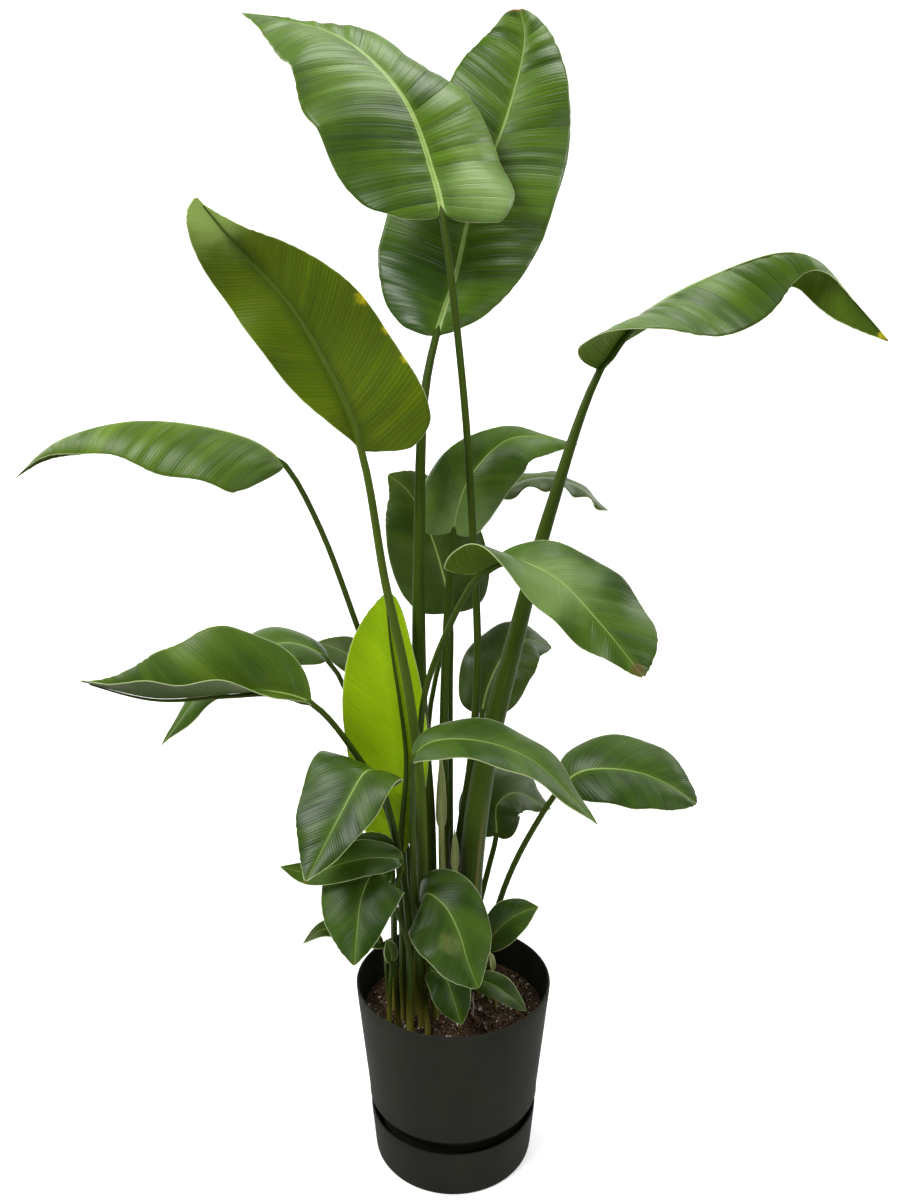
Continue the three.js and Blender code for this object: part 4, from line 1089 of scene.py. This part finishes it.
def pot_profile():
    lip = POT_WALL / 2
    lip_foot = POT_TOP - LIP_START
    foot = (SKIRT_FOOT_RADIUS - SKIRT_ROUND, SKIRT_FOOT + SKIRT_ROUND)
    inner_foot = skirt_radius(SKIRT_FOOT) - POT_WALL
    neck_inner = NECK_RADIUS - POT_WALL
    return [
        (0, POT_FOOT),
        *arc((NECK_RADIUS - FOOT_ROUND, POT_FOOT + FOOT_ROUND), FOOT_ROUND, -90, 0),
        *arc((NECK_RADIUS + NECK_ROUND, SKIRT_FOOT - NECK_ROUND), NECK_ROUND, 180, 90, 4),
        *arc(foot, SKIRT_ROUND, -90, 0),
        *straight((SKIRT_FOOT_RADIUS, SKIRT_FOOT + SKIRT_START), (POT_RIM_RADIUS, lip_foot), 12),
        *arc((POT_RIM_RADIUS - lip, POT_TOP - lip), lip, 0, 180, 9),
        *straight((POT_RIM_RADIUS - POT_WALL, lip_foot), (inner_foot, SKIRT_FOOT + POT_WALL), 8),
        (neck_inner, SKIRT_FOOT - POT_WALL),
        (neck_inner, POT_FOOT + POT_FLOOR),
        (0, POT_FOOT + POT_FLOOR),
    ]


# %% Profile of the saucer
SAUCER_RIM_RADIUS = 0.1275
SAUCER_FOOT_RADIUS = 0.119
SAUCER_TOP = 0.073
SAUCER_WALL = 0.003
SAUCER_FLOOR = 0.0035
SAUCER_ROUND = 0.003


def saucer_profile():
    lip = SAUCER_WALL / 2
    return [
        (0, 0),
        *arc((SAUCER_FOOT_RADIUS - 0.001, SAUCER_ROUND), SAUCER_ROUND, -90, 0),
        *straight((SAUCER_FOOT_RADIUS + 0.0025, 0.006), (SAUCER_RIM_RADIUS, SAUCER_TOP - SAUCER_ROUND), 6),
        *arc((SAUCER_RIM_RADIUS - lip, SAUCER_TOP - lip), lip, 0, 180, 9),
        (SAUCER_FOOT_RADIUS - SAUCER_WALL + 0.001, SAUCER_FLOOR + 0.002),
        (SAUCER_FOOT_RADIUS - SAUCER_WALL - 0.002, SAUCER_FLOOR),
        (0, SAUCER_FLOOR),
    ]


# %% Spin a profile
TURN_STEPS = 144


def spun(profile):
    """A profile of (radius, height) points spun into a closed solid"""
    mesh = bmesh.new()
    verts = [mesh.verts.new((radius, 0, height)) for radius, height in profile]
    edges = [mesh.edges.new(pair) for pair in zip(verts, verts[1:])]
    bmesh.ops.spin(mesh, geom=verts + edges, cent=(0, 0, 0), axis=(0, 0, 1), angle=2 * math.pi,
                   steps=TURN_STEPS, use_merge=True)
    bmesh.ops.remove_doubles(mesh, verts=mesh.verts[:], dist=WELD)
    return mesh


# %% Plastic of the pot
SCUFF_STRETCH = (4.0, 4.0, 1.2)


def plastic_finish(name, base, wear_and_highlight):
    plastic = Finish(name)
    position = plastic.node("TexCoord", output=3)
    _, _, height = plastic.parts(position)
    grain = plastic.noise(position, 900.0, 2.0)
    inputs = {0: position, 1: SCUFF_STRETCH}
    stretched = plastic.node("VectorMath", {"operation": "MULTIPLY"}, inputs)
    scuff = plastic.noise(stretched, 4.0, 5.0, 0.6)
    color = plastic.blend(scuff.ramp(0.35, 0.75) * 0.6, solid(*base), solid(*wear_and_highlight))
    # The lip is lighter: partly wear, and partly a painted highlight where light catches the rim.
    edges = (height - POT_TOP).absolute().ramp(0.004, 0.001) * 0.5
    color = plastic.blend(edges, color, solid(*wear_and_highlight))
    roughness = scuff * 0.2 + 0.55
    bump = grain * 0.5 + scuff * 0.2
    return plastic.close(color, roughness, bump, depth=0.0002, strength=0.35, gloss=0.04)


# %% Make the pot and the saucer
pot_plastic = plastic_finish("pot_plastic", (0.0120, 0.0122, 0.0088), (0.0190, 0.0192, 0.0140))
pot = shown_piece("plant_pot", spun(pot_profile()), [pot_plastic], ["pot"])
saucer = shown_piece("plant_saucer", spun(saucer_profile()), [pot_plastic], ["saucer"])
print("Faces of pot and saucer:", len(pot.data.polygons), len(saucer.data.polygons))

# %% [markdown]
# ## Soil
# The pot holds peat. Its body is spun like the pot, then its top is roughened by noise, with a low
# mound round the stems. A displace modifier would do it too, but the bits that come next have to
# know how high the soil is at any place, so the height is a function.

# %% Body of the soil
SOIL_GAP = 0.0004
SOIL_RINGS = 46
SOIL_ROUGHNESS = 0.0045
SOIL_EDGE = 0.01
SOIL_SETTLED = 0.002
LUMPS = 45
LUMP_SLICE = 3.1
MOUND_HEIGHT = 0.006
MOUND_REACH = 0.07
SOIL_RADIUS = skirt_radius(SOIL_TOP) - POT_WALL - SOIL_GAP


def soil_height(x, y):
    """Height of the soil's top at a place: lumps, and a low mound round the stems"""
    lumps = noise.fractal(Vector((x * LUMPS, y * LUMPS, LUMP_SLICE)), 1.0, 2.0, 4)
    edge = soft_step(np.array((SOIL_RADIUS - math.hypot(x, y)) / SOIL_EDGE))
    mound = MOUND_HEIGHT * math.exp(-(math.hypot(x, y) / MOUND_REACH) ** 2)
    return SOIL_TOP - SOIL_SETTLED + float(edge) * (SOIL_ROUGHNESS * lumps + mound)


def soil_mesh():
    neck_inner = NECK_RADIUS - POT_WALL - SOIL_GAP
    foot = POT_FOOT + POT_FLOOR + SOIL_GAP
    shoulder = SKIRT_FOOT + POT_WALL + 0.002
    inner = skirt_radius(SKIRT_FOOT) - POT_WALL - SOIL_GAP - 0.001
    sides = [(0, foot), (neck_inner, foot), (neck_inner, SKIRT_FOOT), (inner, shoulder)]
    top = straight((SOIL_RADIUS, SOIL_TOP), (0, SOIL_TOP), SOIL_RINGS)
    mesh = spun([*sides, *top, (0, SOIL_TOP)])
    for vertex in mesh.verts:
        if vertex.co.z > SOIL_TOP - 0.001:
            vertex.co.z = soil_height(vertex.co.x, vertex.co.y)
    return mesh


# %% Finish of the soil
def soil_finish(name, deep, light, scale):
    soil = Finish(name)
    position = soil.node("TexCoord", output=3)
    clod = soil.noise(position, scale, 6.0, 0.65)
    speck = soil.noise(position, scale * 4, 3.0)
    color = soil.blend(clod.ramp(0.35, 0.7), solid(*deep), solid(*light))
    color = soil.blend(speck.ramp(0.62, 0.72) * 0.4, color, solid(*[2.2 * value for value in light]))
    return soil.close(color, 0.9, clod * 0.7 + speck * 0.3, depth=0.002, strength=0.8, gloss=0.15)


peat = soil_finish("peat", (0.010, 0.006, 0.003), (0.095, 0.055, 0.028), 260.0)
soil = shown_piece("potting_soil", soil_mesh(), [peat], ["soil"])
print("Faces of the soil:", len(soil.data.polygons))

# %% [markdown]
# ## Loose bits on the soil
# Crumbs of peat, chips of bark and grains of white perlite lie on top. They are small stones of a
# few faces, turned and pressed at random from a fixed seed, and joined, so that there are many at
# little cost. Particles would be quicker to set up, but they don't leave Blender with the model.

# %% Scatter small stones
REACH = 0.96
SUNK = 0.25
CHIPPED = 0.25


def scattered(count, sizes, flatness, seed):
    """Small stones on the soil; sizes are their least and greatest radius"""
    random = np.random.default_rng(seed)
    mesh = bmesh.new()
    for _ in range(count):
        radius = SOIL_RADIUS * REACH * math.sqrt(random.random())
        turn = random.uniform(0, 2 * math.pi)
        x, y = radius * math.cos(turn), radius * math.sin(turn)
        size = sizes[0] * (sizes[1] / sizes[0]) ** random.random()
        made = bmesh.ops.create_icosphere(mesh, subdivisions=1, radius=size)["verts"]
        bmesh.ops.scale(mesh, verts=made, vec=random.uniform(flatness, 1.0, 3))
        spin = Vector(random.normal(size=3)).normalized().to_track_quat("X", "Y").to_matrix()
        bmesh.ops.rotate(mesh, verts=made, cent=(0, 0, 0), matrix=spin)
        for vertex in made:
            vertex.co *= 1 + CHIPPED * (random.random() - 0.5)
        bmesh.ops.translate(mesh, verts=made, vec=(x, y, soil_height(x, y) + size * (0.5 - SUNK)))
    return mesh


# %% Crumbs, chips and grains
perlite_white = soil_finish("perlite_white", (0.72, 0.70, 0.62), (0.93, 0.91, 0.84), 500.0)
bark_brown = soil_finish("bark_brown", (0.060, 0.030, 0.012), (0.200, 0.105, 0.045), 400.0)
LOOSE_BITS = [
    ("peat_crumbs", 1700, (0.0008, 0.0034), 0.5, 11, peat),
    ("bark_chips", 260, (0.0015, 0.0055), 0.3, 12, bark_brown),
    ("perlite_grains", 540, (0.0007, 0.0021), 0.6, 13, perlite_white),
]
for name, count, sizes, flatness, seed, material in LOOSE_BITS:
    bits = shown_piece(name, scattered(count, sizes, flatness, seed), [material])
    print(name, "faces:", len(bits.data.polygons))

# %% [markdown]
# ## A pale root
# One thin white root stands up beside the stems, where it dried in the air. It is a small ring
# that is extruded from point to point: a curve object with a bevel would look the same, but this
# way it is a plain mesh like all the rest.

# %% Draw the root from point to point
ROOT_THREAD = [
    (0.0300, -0.0460, 0.236), (0.0290, -0.0465, 0.247), (0.0308, -0.0475, 0.258),
    (0.0288, -0.0480, 0.269), (0.0296, -0.0490, 0.282),
]
ROOT_RADIUS = 0.0006


def root_thread():
    """A thin thread, drawn from point to point"""
    mesh = bmesh.new()
    ring = bmesh.ops.create_circle(mesh, cap_ends=True, segments=6, radius=ROOT_RADIUS)["verts"]
    bmesh.ops.translate(mesh, verts=ring, vec=ROOT_THREAD[0])
    foot = mesh.faces[:]
    end = foot
    for start, stop in zip(ROOT_THREAD, ROOT_THREAD[1:]):
        grown = bmesh.ops.extrude_face_region(mesh, geom=end)["geom"]
        if end != foot:
            bmesh.ops.delete(mesh, geom=end, context="FACES_ONLY")
        end = only(bmesh.types.BMFace, grown)
        moved = only(bmesh.types.BMVert, grown)
        bmesh.ops.translate(mesh, verts=moved, vec=Vector(stop) - Vector(start))
    return mesh


pale_root = shown_piece("pale_root", root_thread(), [perlite_white])
print("Root faces:", len(pale_root.data.polygons))

# %% [markdown]
# ## Measure and finish
# The boxes of the model and of the dressed plant are put side by side, and the second is printed.

shown_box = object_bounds()
sizes = {
    "cad_box": [list(corner) for corner in cad_box],
    "visual_box": [list(corner) for corner in shown_box],
}
print("Box of the dressed plant:", [tuple(round(value, 3) for value in corner) for corner in shown_box])
